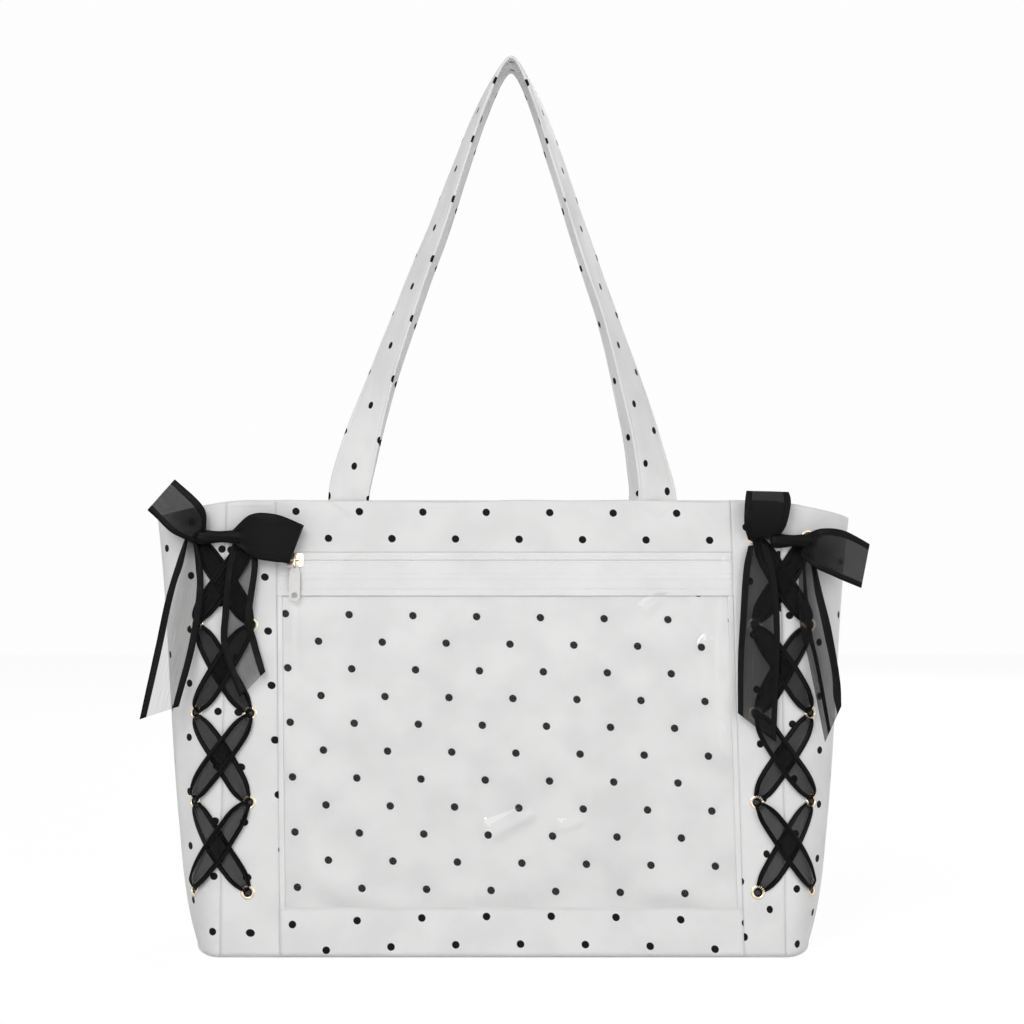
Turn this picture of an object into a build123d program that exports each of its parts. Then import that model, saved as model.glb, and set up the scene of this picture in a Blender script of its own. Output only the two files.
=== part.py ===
from build123d import *
import math
import os

# A stiffened tote bag that stands on its base. Its front carries a flat pocket with a clear window
# under a horizontal zip, both front corners are laced through eyelets with wide organza ribbon tied
# in a bow, and two shoulder straps rise over the mouth.
#
# Frame: +Z up, origin on the floor at the middle of the base, front facing -Y. Millimetres.

# ---- driving dimensions: the body ------------------------------------------------------------------
BAG_HEIGHT = 290.0            # floor to the hem at the middle of the front
FOLD_HALF_WIDTH = 179.0       # middle of the bag to the corner fold
BASE_HALF_DEPTH = 59.0
MOUTH_HALF_DEPTH = 27.0
GUSSET_REACH = 18.0           # how far a gusset stands out past the corner fold, at the floor
GUSSET_BELLY = 12.0           # reach gained over the lowest part of the wall
BELLY_HEIGHT = 35.0
GUSSET_SPLAY = 0.055          # reach gained per millimetre of height
MOUTH_FLARE = 3.0             # extra reach right at the mouth
HEM_DROOP = 12.0              # how far the hem falls away at the outer end of a gusset
GUSSET_LEVELS = (6.0, 30.0, 110.0, BAG_HEIGHT)    # a gusset is straight between these heights
PANEL_HALF_WIDTH = 147.0      # middle of the front to the seam of the centre panel

# ---- wall build-up, measured inwards from the outer face -------------------------------------------
SHELL = (0.0, 1.0)
INTERLINING = (1.1, 2.9)
LINING = (3.0, 3.6)
FACING = (3.7, 4.3)
POCKET_BACK = (2.4, 2.9)
FACING_FOOT = 274.0           # the hem facing covers the inside from here up
FACING_TOP = 289.0            # the inner layers stop just under the folded hem
HEM_STEP = 1.5                # how far the inner layers stop below the hem on a gusset
LACING_CLEAR = 25.0           # interlining starts this far outside the fold on the front corner

# ---- base ------------------------------------------------------------------------------------------
TRAY_HEIGHT = GUSSET_LEVELS[0]
TRAY_WALL = 1.0
TRAY_RADIUS = 3.0             # how far the base's lower edge turns under
BOARD = (1.1, 4.6)            # lowest and highest level of the stiffening board
BASE_LINING = (4.7, 5.3)
WALL_FOOT = 6.2

# ---- pocket, heights measured up the sloping front -------------------------------------------------
BOTTOM_BAND_TOP = 28.0
LAP = 4.0                     # how far the window and the bands overlap what they are sewn to
WINDOW_TOP = 233.0
ZIP_LINE = 253.0
TOP_BAND_FOOT = 258.0
FILM = 0.5                    # window film, zip tape, laps and bindings
BINDING = (140.8, 145.3)      # inner and outer edge of the window's side bindings
BINDING_TOP = 240.0
BOTTOM_BINDING = (28.5, 32.5)

# ---- zip -------------------------------------------------------------------------------------------
CHAIN_GAP = 0.8               # half the slot that the slider's neck runs in
CHAIN_REACH = 3.2             # zip line to the outer edge of a tooth row
CHAIN_HALF_LENGTH = 141.0
CHAIN_PROUD = 0.6
TOOTH_PITCH = 5.0
TOOTH_WIDTH = 3.0
TOOTH_LENGTH = 1.4
SLIDER_X = -134.0
SLIDER_LENGTH = 11.0
SLIDER_WIDTH = 9.0
SLIDER_PLATE = (0.8, 1.8)
SLIDER_BACK = (-2.0, -1.2)
SLIDER_FLANGE = 1.0
BRIDGE_LEVEL = 3.7            # height of the bridge's bar above the front
BRIDGE_SPAN = 3.2
BRIDGE_RADIUS = 0.5
LINK_BEND = 1.15
LINK_LENGTH = 3.6             # between the centres of the link's two bends
LINK_WIRE = 0.4
TAB_WIDTH = 7.0
TAB_NECK = 3.2
TAB_LENGTH = 22.0
TAB_THICK = 1.0
TAB_EYE = 0.8
TAB_WINDOW = 2.1              # radius of the round opening near the tab's free end

# ---- eyelets ---------------------------------------------------------------------------------------
EYELET_COUNT = 5
EYELET_LOWEST = 41.0
EYELET_PITCH = 56.3
EYELET_FRONT_X = 162.0
EYELET_GUSSET_X = 197.0
EYELET_SIDES = 8              # the turned rings are kept light: twenty of them repeat
CUT_SIDES = 8
EYELET_BORE = 2.6
EYELET_BARREL = 3.1
EYELET_FLANGE = 4.8
EYELET_ROLL = 4.2             # radius of the barrel's rolled-over inner end
EYELET_PROUD = 0.5
EYELET_GRIP = 1.65            # outer face to the rolled end
EYELET_DEPTH = 2.0
EYELET_CUT = 3.5              # radius of the hole punched through the shell
GUSSET_SEAT = 0.15            # a flat flange rests this far off the gusset's curved face

# ---- ribbon ----------------------------------------------------------------------------------------
RIBBON = 25.0
RIBBON_THICK = 0.8
LACE_UNDER = (1.0, 1.6)       # the lower diagonal of each cross, above the outer face
LACE_OVER = (1.8, 2.4)
LACE_HALF_WIDTH = 8.5
LACE_PINCH = 3.5              # half width where a lace is gathered into an eyelet
LACE_FACES = 25.0             # degrees between the front and the way the corner's laces face
LACE_START_X = 150.0
LACE_MARGIN = 10.9            # how far the lacing's skin runs past the end eyelets
LACE_ARC = 62.0               # how far a lacing skin runs round the gusset's oval, in degrees
INNER_LACE = (2.2, 2.7)       # depth of the bars that join each pair of eyelets behind the shell
INNER_LACE_HEIGHT = 8.0
KNOT_SEAT = 2.7
KNOT_THICK = 3.2
GATHER = 3.0                  # side of the gathered ribbon where it passes through an eyelet

# ---- straps ----------------------------------------------------------------------------------------
STRAP_WIDTH = 26.0
STRAP_THICK = 2.5
STRAP_BASE_X = 100.0
STRAP_HINGE_Z = 297.0
STRAP_APEX_Z = 582.7
STRAP_LEAN = 3.5              # how far the apex sits to the right of the middle
STRAP_BEND = 4.0
STRAP_GAP = 1.4               # between the two straps where they hang together
STRAP_TAIL_FOOT = 268.0
STRAP_TAIL_DROP = 3.4         # fold line down to the tail's top: the bend between them is soft
STRAP_TAIL = (1.05, 2.95)

SLOPE = math.atan2(BASE_HALF_DEPTH - MOUTH_HALF_DEPTH, BAG_HEIGHT)
WALL_TOP = BAG_HEIGHT / math.cos(SLOPE)
FRONT = Plane((0, -BASE_HALF_DEPTH, 0), (1, 0, 0), (0, -math.cos(SLOPE), math.sin(SLOPE)))
BACK = Plane((0, BASE_HALF_DEPTH, 0), (-1, 0, 0), (0, math.cos(SLOPE), math.sin(SLOPE)))

parts = {}


# ---- shared shapes ---------------------------------------------------------------------------------
def half_depth(z):
    return BASE_HALF_DEPTH - (BASE_HALF_DEPTH - MOUTH_HALF_DEPTH) * z / BAG_HEIGHT


def section_reach(z):
    belly = GUSSET_BELLY * (1 - math.exp(-z / BELLY_HEIGHT))
    flare = MOUTH_FLARE * (z / BAG_HEIGHT) ** 6
    return GUSSET_REACH + belly + GUSSET_SPLAY * z + flare


def gusset_reach(z):
    """How far the gusset stands out past the fold, straight between its sections."""
    for low, high in zip(GUSSET_LEVELS, GUSSET_LEVELS[1:]):
        if z <= high:
            share = (z - low) / (high - low)
            return section_reach(low) * (1 - share) + section_reach(high) * share


def slab(x0, x1, low, high, inner, outer):
    """A flat piece in a wall's own frame: across it, up it, and out of it."""
    block = Box(x1 - x0, high - low, outer - inner)
    return Pos((x0 + x1) / 2, (low + high) / 2, (inner + outer) / 2) * block


def layer(x0, x1, low, high, depth):
    """A flat layer of the wall's build-up."""
    return slab(x0, x1, low, high, -depth[1], -depth[0])


def on(wall, piece):
    return wall.location * piece


def mirrored(piece):
    return mirror(piece, about=Plane.YZ)


def both_sides(name, piece):
    parts[name + "_right"] = piece
    parts[name + "_left"] = mirrored(piece)


def half_oval(z, inset):
    """The gusset's section at height z, from the front fold round to the back fold."""
    reach = gusset_reach(z) - inset
    depth = half_depth(z) - inset
    return EllipticalCenterArc((FOLD_HALF_WIDTH, 0), reach, depth, start_angle=-90, arc_size=180)


def oval_band(z, depth):
    """One face between two insets of the gusset's section."""
    outer, inner = (half_depth(z) - inset for inset in depth)
    with BuildSketch(Plane.XY.offset(z)) as sketch:
        with BuildLine():
            half_oval(z, depth[0])
            half_oval(z, depth[1])
            Line((FOLD_HALF_WIDTH, -outer), (FOLD_HALF_WIDTH, -inner))
            Line((FOLD_HALF_WIDTH, outer), (FOLD_HALF_WIDTH, inner))
        make_face()
    return sketch.sketch.face()


def droop_cut(lowering=0.0):
    """What lies above the hem over a gusset, where the hem falls away from the corner fold."""
    tip = FOLD_HALF_WIDTH + gusset_reach(BAG_HEIGHT) + 2
    near = (FOLD_HALF_WIDTH - 12, BAG_HEIGHT - lowering)
    far = (tip, BAG_HEIGHT - HEM_DROOP - lowering)
    middle = ((near[0] + far[0]) / 2, BAG_HEIGHT - 0.36 * HEM_DROOP - lowering)
    with BuildSketch(Plane.XZ) as sketch:
        with BuildLine():
            ThreePointArc(near, middle, far)
            Polyline(far, (tip, BAG_HEIGHT + 20), (near[0], BAG_HEIGHT + 20), near)
        make_face()
    return extrude(sketch.sketch, amount=BASE_HALF_DEPTH, both=True)


def gusset_wall(depth, foot, lowering=0.0):
    """A gusset layer, lofted through its sections and cut to the drooping hem."""
    levels = [foot, *GUSSET_LEVELS[1:]]
    return loft([oval_band(z, depth) for z in levels], ruled=True) - droop_cut(lowering)


def base_outline(inset):
    """The base's plan: straight front and back, and a half oval at each end."""
    reach = gusset_reach(TRAY_HEIGHT) - inset
    depth = half_depth(TRAY_HEIGHT) - inset
    with BuildSketch() as sketch:
        with BuildLine():
            Line((-FOLD_HALF_WIDTH, -depth), (FOLD_HALF_WIDTH, -depth))
            EllipticalCenterArc((FOLD_HALF_WIDTH, 0), reach, depth, start_angle=-90, arc_size=180)
            Line((FOLD_HALF_WIDTH, depth), (-FOLD_HALF_WIDTH, depth))
            EllipticalCenterArc((-FOLD_HALF_WIDTH, 0), reach, depth, start_angle=90, arc_size=180)
        make_face()
    return sketch.sketch


def dished(inset, low, high, radius):
    """A block of the base's plan with its lower edge turned under."""
    block = Pos(0, 0, low) * extrude(base_outline(inset), amount=high - low)
    rim = block.faces().sort_by(Axis.Z)[0].edges()
    return chamfer(rim, radius) if radius else block


# ---- eyelet places: a plane on the outer face, with its normal pointing out -----------------------
def wall_point(z, across):
    """A point of the right gusset's outer face, `across` millimetres outside the fold."""
    sine = across / gusset_reach(z)
    return Vector(FOLD_HALF_WIDTH + across, -half_depth(z) * math.sqrt(1 - sine * sine), z)


def gusset_place(z):
    across = EYELET_GUSSET_X - FOLD_HALF_WIDTH
    along = wall_point(z, across + 0.1) - wall_point(z, across - 0.1)
    up = wall_point(z + 1, across) - wall_point(z - 1, across)
    normal = along.cross(up).normalized()
    return Plane(wall_point(z, across) + normal * GUSSET_SEAT, x_dir=along, z_dir=normal)


def front_place(z):
    point = FRONT.from_local_coords(Vector(EYELET_FRONT_X, z / math.cos(SLOPE), 0))
    return Plane(point, x_dir=(1, 0, 0), z_dir=FRONT.z_dir)


ROWS = [EYELET_LOWEST + EYELET_PITCH * row for row in range(EYELET_COUNT)]
FRONT_PLACES = [front_place(z) for z in ROWS]
GUSSET_PLACES = [gusset_place(z) for z in ROWS]


def punched(piece, places):
    tool = extrude(RegularPolygon(EYELET_CUT, CUT_SIDES), amount=3 * EYELET_DEPTH, both=True)
    for place in places:
        piece = piece - on(place, tool)
    return piece


def eyelet():
    """A one-piece eyelet: flange outside, barrel through the shell, rolled end behind it."""
    steps = [
        (EYELET_FLANGE, 0.0, EYELET_PROUD), (EYELET_BARREL, -EYELET_GRIP, 0.0),
        (EYELET_ROLL, -EYELET_DEPTH, -EYELET_GRIP),
    ]
    ring = None
    for radius, low, high in steps:
        disc = Pos(0, 0, low) * extrude(RegularPolygon(radius, EYELET_SIDES), amount=high - low)
        ring = disc if ring is None else ring + disc
    return ring - extrude(RegularPolygon(EYELET_BORE, EYELET_SIDES), amount=5, both=True)


# ---- body ------------------------------------------------------------------------------------------
def make_base():
    shell = dished(0, 0, TRAY_HEIGHT, TRAY_RADIUS)
    hollow = dished(TRAY_WALL, TRAY_WALL, TRAY_HEIGHT + 1, TRAY_RADIUS - TRAY_WALL / 2)
    parts["base_panel"] = shell - hollow
    parts["base_board"] = dished(TRAY_WALL + 0.3, BOARD[0], BOARD[1], TRAY_RADIUS - TRAY_WALL / 2)
    parts["base_lining"] = dished(TRAY_WALL + 0.1, BASE_LINING[0], BASE_LINING[1], 0)


def make_walls():
    foot = WALL_FOOT
    side = (PANEL_HALF_WIDTH, FOLD_HALF_WIDTH)
    strip = punched(on(FRONT, layer(*side, foot, WALL_TOP, SHELL)), FRONT_PLACES)
    both_sides("front_side_strip", strip)
    both_sides("gusset", punched(gusset_wall(SHELL, TRAY_HEIGHT), GUSSET_PLACES))
    parts["back_panel"] = on(BACK, layer(-side[1], side[1], foot, WALL_TOP, SHELL))

    # the interlining stops short of the eyelets, whose rolled ends and ribbon lie behind the shell
    lacing_room = Pos(FOLD_HALF_WIDTH, -100, 0) * Box(2 * LACING_CLEAR, 200, 800)
    stiff = gusset_wall(INTERLINING, TRAY_HEIGHT + 0.1, HEM_STEP) - lacing_room
    both_sides("gusset_interlining", stiff)
    stiff = layer(-side[1], side[1], foot, FACING_TOP, INTERLINING)
    parts["back_interlining"] = on(BACK, with_strap_slots(stiff))


def make_lining():
    width = FOLD_HALF_WIDTH
    flat = layer(-width, width, WALL_FOOT, FACING_TOP, LINING)
    parts["front_lining"] = on(FRONT, flat)
    parts["back_lining"] = on(BACK, flat)
    both_sides("gusset_lining", gusset_wall(LINING, TRAY_HEIGHT, HEM_STEP))

    strip = layer(-width, width, FACING_FOOT, FACING_TOP, FACING)
    below = Pos(FOLD_HALF_WIDTH, 0, FACING_FOOT / 2) * Box(200, 200, FACING_FOOT)
    end = gusset_wall(FACING, TRAY_HEIGHT, HEM_STEP) - below
    parts["hem_facing"] = on(FRONT, strip) + on(BACK, strip) + end + mirrored(end)


# ---- pocket ----------------------------------------------------------------------------------------
def make_pocket():
    half = PANEL_HALF_WIDTH
    seam = TOP_BAND_FOOT + LAP
    front_film = (0.0, FILM)
    back_film = (FILM, 2 * FILM)
    band = layer(-half, half, seam, WALL_TOP, SHELL)
    parts["front_top_band"] = on(FRONT, band + layer(-half, half, TOP_BAND_FOOT, seam, front_film))
    band = layer(-half, half, WALL_FOOT, BOTTOM_BAND_TOP, SHELL)
    lap = layer(-half, half, BOTTOM_BAND_TOP, BOTTOM_BAND_TOP + LAP, back_film)
    parts["front_bottom_band"] = on(FRONT, band + lap)
    window = layer(-half, half, BOTTOM_BAND_TOP, WINDOW_TOP, front_film)
    parts["pocket_window"] = on(FRONT, window)
    backing = layer(-half, half, WALL_FOOT, seam, POCKET_BACK)
    parts["pocket_backing"] = on(FRONT, backing)
    stiffener = layer(-half, half, seam, FACING_TOP, INTERLINING)
    parts["hem_stiffener"] = on(FRONT, with_strap_slots(stiffener))

    binding = slab(-BINDING[1], BINDING[1], *BOTTOM_BINDING, 0, FILM)
    for sign in (-1, 1):
        edge = sorted((sign * BINDING[0], sign * BINDING[1]))
        binding = binding + slab(*edge, BOTTOM_BINDING[0], BINDING_TOP, 0, FILM)
    parts["window_binding"] = on(FRONT, binding)

    upper = layer(-half, half, ZIP_LINE + CHAIN_GAP, seam, back_film)
    lower = layer(-half, half, WINDOW_TOP - LAP, ZIP_LINE - CHAIN_GAP, back_film)
    parts["zip_tape_upper"] = on(FRONT, upper)
    parts["zip_tape_lower"] = on(FRONT, lower)


# ---- zip -------------------------------------------------------------------------------------------
def tooth_row(stagger):
    """A comb of teeth in the wall's frame, above the zip line, with its spine outwards."""
    length = 2 * CHAIN_HALF_LENGTH
    spine_low = CHAIN_GAP + TOOTH_LENGTH
    with BuildSketch() as sketch:
        with Locations((0, (spine_low + CHAIN_REACH) / 2)):
            Rectangle(length, CHAIN_REACH - spine_low)
        count = int(length / TOOTH_PITCH) - 1
        with Locations((stagger * TOOTH_PITCH / 2, CHAIN_GAP + TOOTH_LENGTH / 2)):
            with GridLocations(TOOTH_PITCH, 0, count, 1):
                Rectangle(TOOTH_WIDTH, TOOTH_LENGTH)
    return Pos(0, 0, -FILM) * extrude(sketch.sketch, amount=FILM + CHAIN_PROUD)


def make_chain():
    line = Pos(0, ZIP_LINE, 0)
    parts["zip_teeth_upper"] = on(FRONT, line * tooth_row(0.5))
    parts["zip_teeth_lower"] = on(FRONT, line * mirror(tooth_row(-0.5), about=Plane.XZ))
    stops = []
    for side in (-1, 1):
        stop = slab(-1, 1, -CHAIN_REACH, CHAIN_REACH, -FILM, CHAIN_PROUD + 0.3)
        stops.append(on(FRONT, Pos(side * (CHAIN_HALF_LENGTH + 1.3), ZIP_LINE, 0) * stop))
    parts["zip_stops"] = Compound(stops)


def slider_body():
    """A slider about its own middle: x along the zip, z out of the bag."""
    half_long = SLIDER_LENGTH / 2
    half_wide = SLIDER_WIDTH / 2
    outline = RectangleRounded(SLIDER_LENGTH, SLIDER_WIDTH, 2.0)
    plate = Pos(0, 0, SLIDER_PLATE[0]) * extrude(outline, amount=SLIDER_PLATE[1] - SLIDER_PLATE[0])
    back = Pos(0, 0, SLIDER_BACK[0]) * extrude(outline, amount=SLIDER_BACK[1] - SLIDER_BACK[0])
    body = plate + back + slab(-half_long + 1, -half_long + 4, -0.5, 0.5, SLIDER_BACK[1], SLIDER_PLATE[0])
    for sign in (-1, 1):
        edge = sorted((sign * half_wide, sign * (half_wide - SLIDER_FLANGE)))
        flange = slab(-half_long + 2, half_long - 2, *edge, -0.3, SLIDER_PLATE[0])
        body = body + flange
        post = slab(-0.6, 0.6, -0.9, 0.9, SLIDER_PLATE[1], BRIDGE_LEVEL + BRIDGE_RADIUS)
        body = body + Pos(sign * BRIDGE_SPAN, 0, 0) * post
    bar = Rot(0, 90, 0) * Cylinder(BRIDGE_RADIUS, 2 * BRIDGE_SPAN)
    return body + Pos(0, 0, BRIDGE_LEVEL) * bar


def link_ring():
    """The oval link, hanging from the bridge's bar in the plane across the zip."""
    with BuildSketch(Plane.YZ) as sketch:
        with Locations((-LINK_LENGTH / 2, 0)):
            SlotCenterToCenter(LINK_LENGTH, 2 * (LINK_BEND + LINK_WIRE))
            SlotCenterToCenter(LINK_LENGTH, 2 * (LINK_BEND - LINK_WIRE), mode=Mode.SUBTRACT)
    return Pos(0, 0, BRIDGE_LEVEL) * extrude(sketch.sketch, amount=LINK_WIRE, both=True)


def pull_tab():
    """The flat tab, with an eye for the link at the origin and a round opening at its free end."""
    shoulder = TAB_WIDTH / 2
    with BuildSketch() as sketch:
        with BuildLine():
            Line((-TAB_NECK / 2, 1.6), (TAB_NECK / 2, 1.6))
            Line((TAB_NECK / 2, 1.6), (shoulder, -3.0))
            Line((shoulder, -3.0), (shoulder, -TAB_LENGTH + shoulder))
            ThreePointArc(
                (shoulder, -TAB_LENGTH + shoulder), (0, -TAB_LENGTH), (-shoulder, -TAB_LENGTH + shoulder)
            )
            Line((-shoulder, -TAB_LENGTH + shoulder), (-shoulder, -3.0))
            Line((-shoulder, -3.0), (-TAB_NECK / 2, 1.6))
        make_face()
        Circle(TAB_EYE, mode=Mode.SUBTRACT)
        with Locations((0, -TAB_LENGTH + shoulder)):
            Circle(TAB_WINDOW, mode=Mode.SUBTRACT)
    return Pos(0, 0, BRIDGE_LEVEL - TAB_THICK / 2) * extrude(sketch.sketch, amount=TAB_THICK)


def make_slider():
    place = Pos(SLIDER_X, ZIP_LINE, 0)
    parts["zip_slider"] = on(FRONT, place * slider_body())
    parts["pull_link"] = on(FRONT, place * link_ring())
    eye = Pos(0, -LINK_LENGTH - LINK_BEND, 0)
    parts["pull_tab"] = on(FRONT, place * eye * pull_tab())


# ---- eyelets ---------------------------------------------------------------------------------------
def make_eyelets():
    places = FRONT_PLACES + GUSSET_PLACES
    both_sides("eyelets", Compound([on(place, eyelet()) for place in places]))


# ---- lacing ----------------------------------------------------------------------------------------
def lace_skin(depth):
    """A thin skin over the right front corner, standing off the outer face, for laces to be cut from."""
    faces = []
    for z in (ROWS[0] - LACE_MARGIN, GUSSET_LEVELS[2], ROWS[-1] + LACE_MARGIN):
        with BuildSketch(Plane.XY.offset(z)) as sketch:
            with BuildLine():
                ends = []
                for stand_off in depth:
                    arc = EllipticalCenterArc(
                        (FOLD_HALF_WIDTH, 0), gusset_reach(z) + stand_off, half_depth(z) + stand_off,
                        start_angle=-90, arc_size=LACE_ARC,
                    )
                    start = (LACE_START_X, -half_depth(z) - stand_off)
                    Line(start, arc @ 0)
                    ends.append((start, arc @ 1))
                Line(ends[0][0], ends[1][0])
                Line(ends[0][1], ends[1][1])
            make_face()
        faces.append(sketch.sketch.face())
    return loft(faces, ruled=True)


def lace(skin, start, end):
    """A diagonal lace from one eyelet to another, gathered at both ends, cut from a skin."""
    turn = math.radians(LACE_FACES)
    view = Plane((0, 0, 0), (math.cos(turn), math.sin(turn), 0), (math.sin(turn), -math.cos(turn), 0))
    a = view.to_local_coords(start)
    b = view.to_local_coords(end)
    a, b = Vector(a.X, a.Y), Vector(b.X, b.Y)
    side = (b - a).normalized().rotate(Axis.Z, 90)
    middle = (a + b) * 0.5
    with BuildSketch(view) as sketch:
        with BuildLine():
            ThreePointArc(a + side * LACE_PINCH, middle + side * LACE_HALF_WIDTH, b + side * LACE_PINCH)
            Line(b + side * LACE_PINCH, b - side * LACE_PINCH)
            ThreePointArc(b - side * LACE_PINCH, middle - side * LACE_HALF_WIDTH, a - side * LACE_PINCH)
            Line(a - side * LACE_PINCH, a + side * LACE_PINCH)
        make_face()
    return extrude(sketch.sketch, amount=400) & skin


def inner_bar(skin, row):
    """The ribbon's run behind the shell between two eyelets, gathered through both of them."""
    front, gusset = FRONT_PLACES[row].origin, GUSSET_PLACES[row].origin
    low = min(front.Z, gusset.Z) - INNER_LACE_HEIGHT / 2
    room = Pos((front.X + gusset.X) / 2, -50, low + INNER_LACE_HEIGHT / 2)
    bar = skin & room * Box(gusset.X - front.X, 100, INNER_LACE_HEIGHT)
    top, bottom = EYELET_PROUD + GUSSET_SEAT, -INNER_LACE[1] + GUSSET_SEAT
    through = Box(GATHER, GATHER, top - bottom)
    for place in (FRONT_PLACES[row], GUSSET_PLACES[row]):
        bar = bar + on(place, Pos(0, 0, (top + bottom) / 2) * through)
    return bar


def make_lacing():
    under = lace_skin(LACE_UNDER)
    over = lace_skin(LACE_OVER)
    behind = lace_skin([-depth for depth in INNER_LACE])
    pieces = []
    for low, high in zip(range(EYELET_COUNT - 1), range(1, EYELET_COUNT)):
        pieces.append(lace(under, FRONT_PLACES[low].origin, GUSSET_PLACES[high].origin))
        pieces.append(lace(over, GUSSET_PLACES[low].origin, FRONT_PLACES[high].origin))
    both_sides("lacing", Compound(pieces))
    both_sides("inner_lacing", Compound([inner_bar(behind, row) for row in range(EYELET_COUNT)]))


# ---- bows, in the front's own frame: across, up, and out -------------------------------------------
KNOTS = {                     # middle, length and height
    "left": ((-180, 271), 30, 9),
    "right": ((189, 268), 22, 8),
}
LOOPS = {                     # knot end, outer end, stand-off at each, puff, width at each
    "left_outer": ((-197, 272), (-223, 294), (3.4, 5), 10, (9, 24)),
    "left_inner": ((-164.5, 269), (-130, 265), (3.4, 9.5), 9, (9, 25)),
    "right_upper": ((173, 274), (172, 300), (3.4, 5), 10, (14, 27)),
    "right_outer": ((203, 267), (236, 249), (3.4, 5), 10, (14, 26)),
}
TAILS = {                     # outline on the front, and the run as (height, stand-off)
    "left_outer": (
        [(-207, 268), (-219, 229), (-226, 197), (-234, 151), (-209, 160), (-204, 203), (-196, 264)],
        [(268, 3.6), (230, 5), (190, 4.4), (148, 6)],
    ),
    "left_inner": (
        [(-174, 264), (-177, 235), (-177, 200), (-171, 166), (-153, 182), (-162, 203), (-166, 264)],
        [(266, 3.6), (240, 4.6), (200, 3.8), (163, 6)],
    ),
    "right_inner": (
        [(164, 268), (156, 245), (151, 200), (150, 154), (175, 134), (172, 200), (174, 266)],
        [(270, 3.6), (230, 5), (190, 4), (132, 6)],
    ),
    "right_outer": (
        [(196, 262), (193, 215), (190, 170), (206, 136), (218, 156), (217, 190), (206, 250), (201, 262)],
        [(270, 3.6), (230, 5), (180, 4.4), (134, 6)],
    ),
}


def ribbon_loop(start, end, lift, puff, width):
    """A bow loop from the knot to its outer fold: a flat band bent back on itself."""
    reach = math.hypot(end[0] - start[0], end[1] - start[1])
    turn = math.degrees(math.atan2(end[1] - start[1], end[0] - start[0]))
    bend = reach - puff / 2
    middle = lift[1] + puff / 2
    with BuildSketch(Plane.XZ) as band:
        with BuildLine():
            for side in (-RIBBON_THICK / 2, RIBBON_THICK / 2):
                radius = puff / 2 - side
                Line((0, lift[0] + side), (bend, middle - radius))
                ThreePointArc((bend, middle - radius), (bend + radius, middle), (bend, middle + radius))
                Line((bend, middle + radius), (0, lift[0] + 2 - side))
            Line((0, lift[0] - RIBBON_THICK / 2), (0, lift[0] + RIBBON_THICK / 2))
            Line((0, lift[0] + 2 - RIBBON_THICK / 2), (0, lift[0] + 2 + RIBBON_THICK / 2))
        make_face()
    strip = extrude(band.sketch, amount=RIBBON, both=True)
    with BuildSketch() as outline:
        with BuildLine():
            Polyline(
                (-1, -width[0] / 2), (reach + 2, -width[1] / 2), (reach + 2, width[1] / 2),
                (-1, width[0] / 2), close=True,
            )
        make_face()
    loop = strip & extrude(outline.sketch, amount=60, both=True)
    return Pos(start[0], start[1], 0) * Rot(0, 0, turn) * loop


def ribbon_tail(outline, run):
    """A hanging end: its outline on the front, and its run as (height, stand-off) points."""
    with BuildSketch(Plane.YZ) as band:
        with BuildLine():
            for side in (0, RIBBON_THICK):
                Spline(*[(height, stand_off + side) for height, stand_off in run])
            for height, stand_off in (run[0], run[-1]):
                Line((height, stand_off), (height, stand_off + RIBBON_THICK))
        make_face()
    strip = extrude(band.sketch, amount=300, both=True)
    with BuildSketch() as shape:
        with BuildLine():
            Polyline(*outline, close=True)
        make_face()
    return strip & extrude(shape.sketch, amount=60, both=True)


def knot(centre, length, height):
    outline = RectangleRounded(length, height, height / 2 - 0.2)
    return Pos(centre[0], centre[1], KNOT_SEAT) * extrude(outline, amount=KNOT_THICK)


def make_bows():
    for side, (centre, length, height) in KNOTS.items():
        parts["bow_knot_" + side] = on(FRONT, knot(centre, length, height))
    for place, (start, end, lift, puff, width) in LOOPS.items():
        parts["bow_loop_" + place] = on(FRONT, ribbon_loop(start, end, lift, puff, width))
    for place, (outline, run) in TAILS.items():
        parts["ribbon_tail_" + place] = on(FRONT, ribbon_tail(outline, run))


# ---- straps ----------------------------------------------------------------------------------------
# Half the strap's run from its root to its top: height, distance from the middle, and twist in degrees.
STRAP_RUN = [
    (STRAP_HINGE_Z, 99.6, 0), (303.0, 99.4, 0), (312.0, 97.6, 2), (330.0, 93.0, 12),
    (350.0, 87.2, 30), (372.0, 80.5, 50), (404.0, 70.0, 65), (462.0, 49.5, 68),
    (520.0, 28.0, 72), (565.0, 10.0, 82),
]


def strap_slot():
    """The room that a strap's sewn-in tail takes in the hem, in the wall's frame."""
    half = STRAP_WIDTH / 2 + 0.2
    return layer(-half, half, STRAP_TAIL_FOOT - 0.2, WALL_TOP, (0.5, 3.0))


def with_strap_slots(piece):
    for sign in (-1, 1):
        piece = piece - Pos(sign * STRAP_BASE_X, 0, 0) * strap_slot()
    return piece


def strap_tails():
    top = (STRAP_HINGE_Z - STRAP_TAIL_DROP) / math.cos(SLOPE)
    half = STRAP_WIDTH / 2
    tail = layer(-half, half, STRAP_TAIL_FOOT, top, STRAP_TAIL)
    return Compound([on(FRONT, Pos(sign * STRAP_BASE_X, 0, 0) * tail) for sign in (-1, 1)])


def strap_section(point, travel, twist, near):
    """The strap's cross-section at a point, square to its travel and turned about it."""
    across = Vector(0, 1, 0).cross(travel)
    angle = math.radians(twist)
    width_way = across * math.cos(angle) + Vector(0, 1, 0) * math.sin(angle)
    place = Plane(Vector(point[0], near, point[1]), x_dir=width_way, z_dir=travel)
    with BuildSketch(place) as sketch:
        Rectangle(STRAP_WIDTH, STRAP_THICK)
    return sketch.sketch.face()


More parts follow.
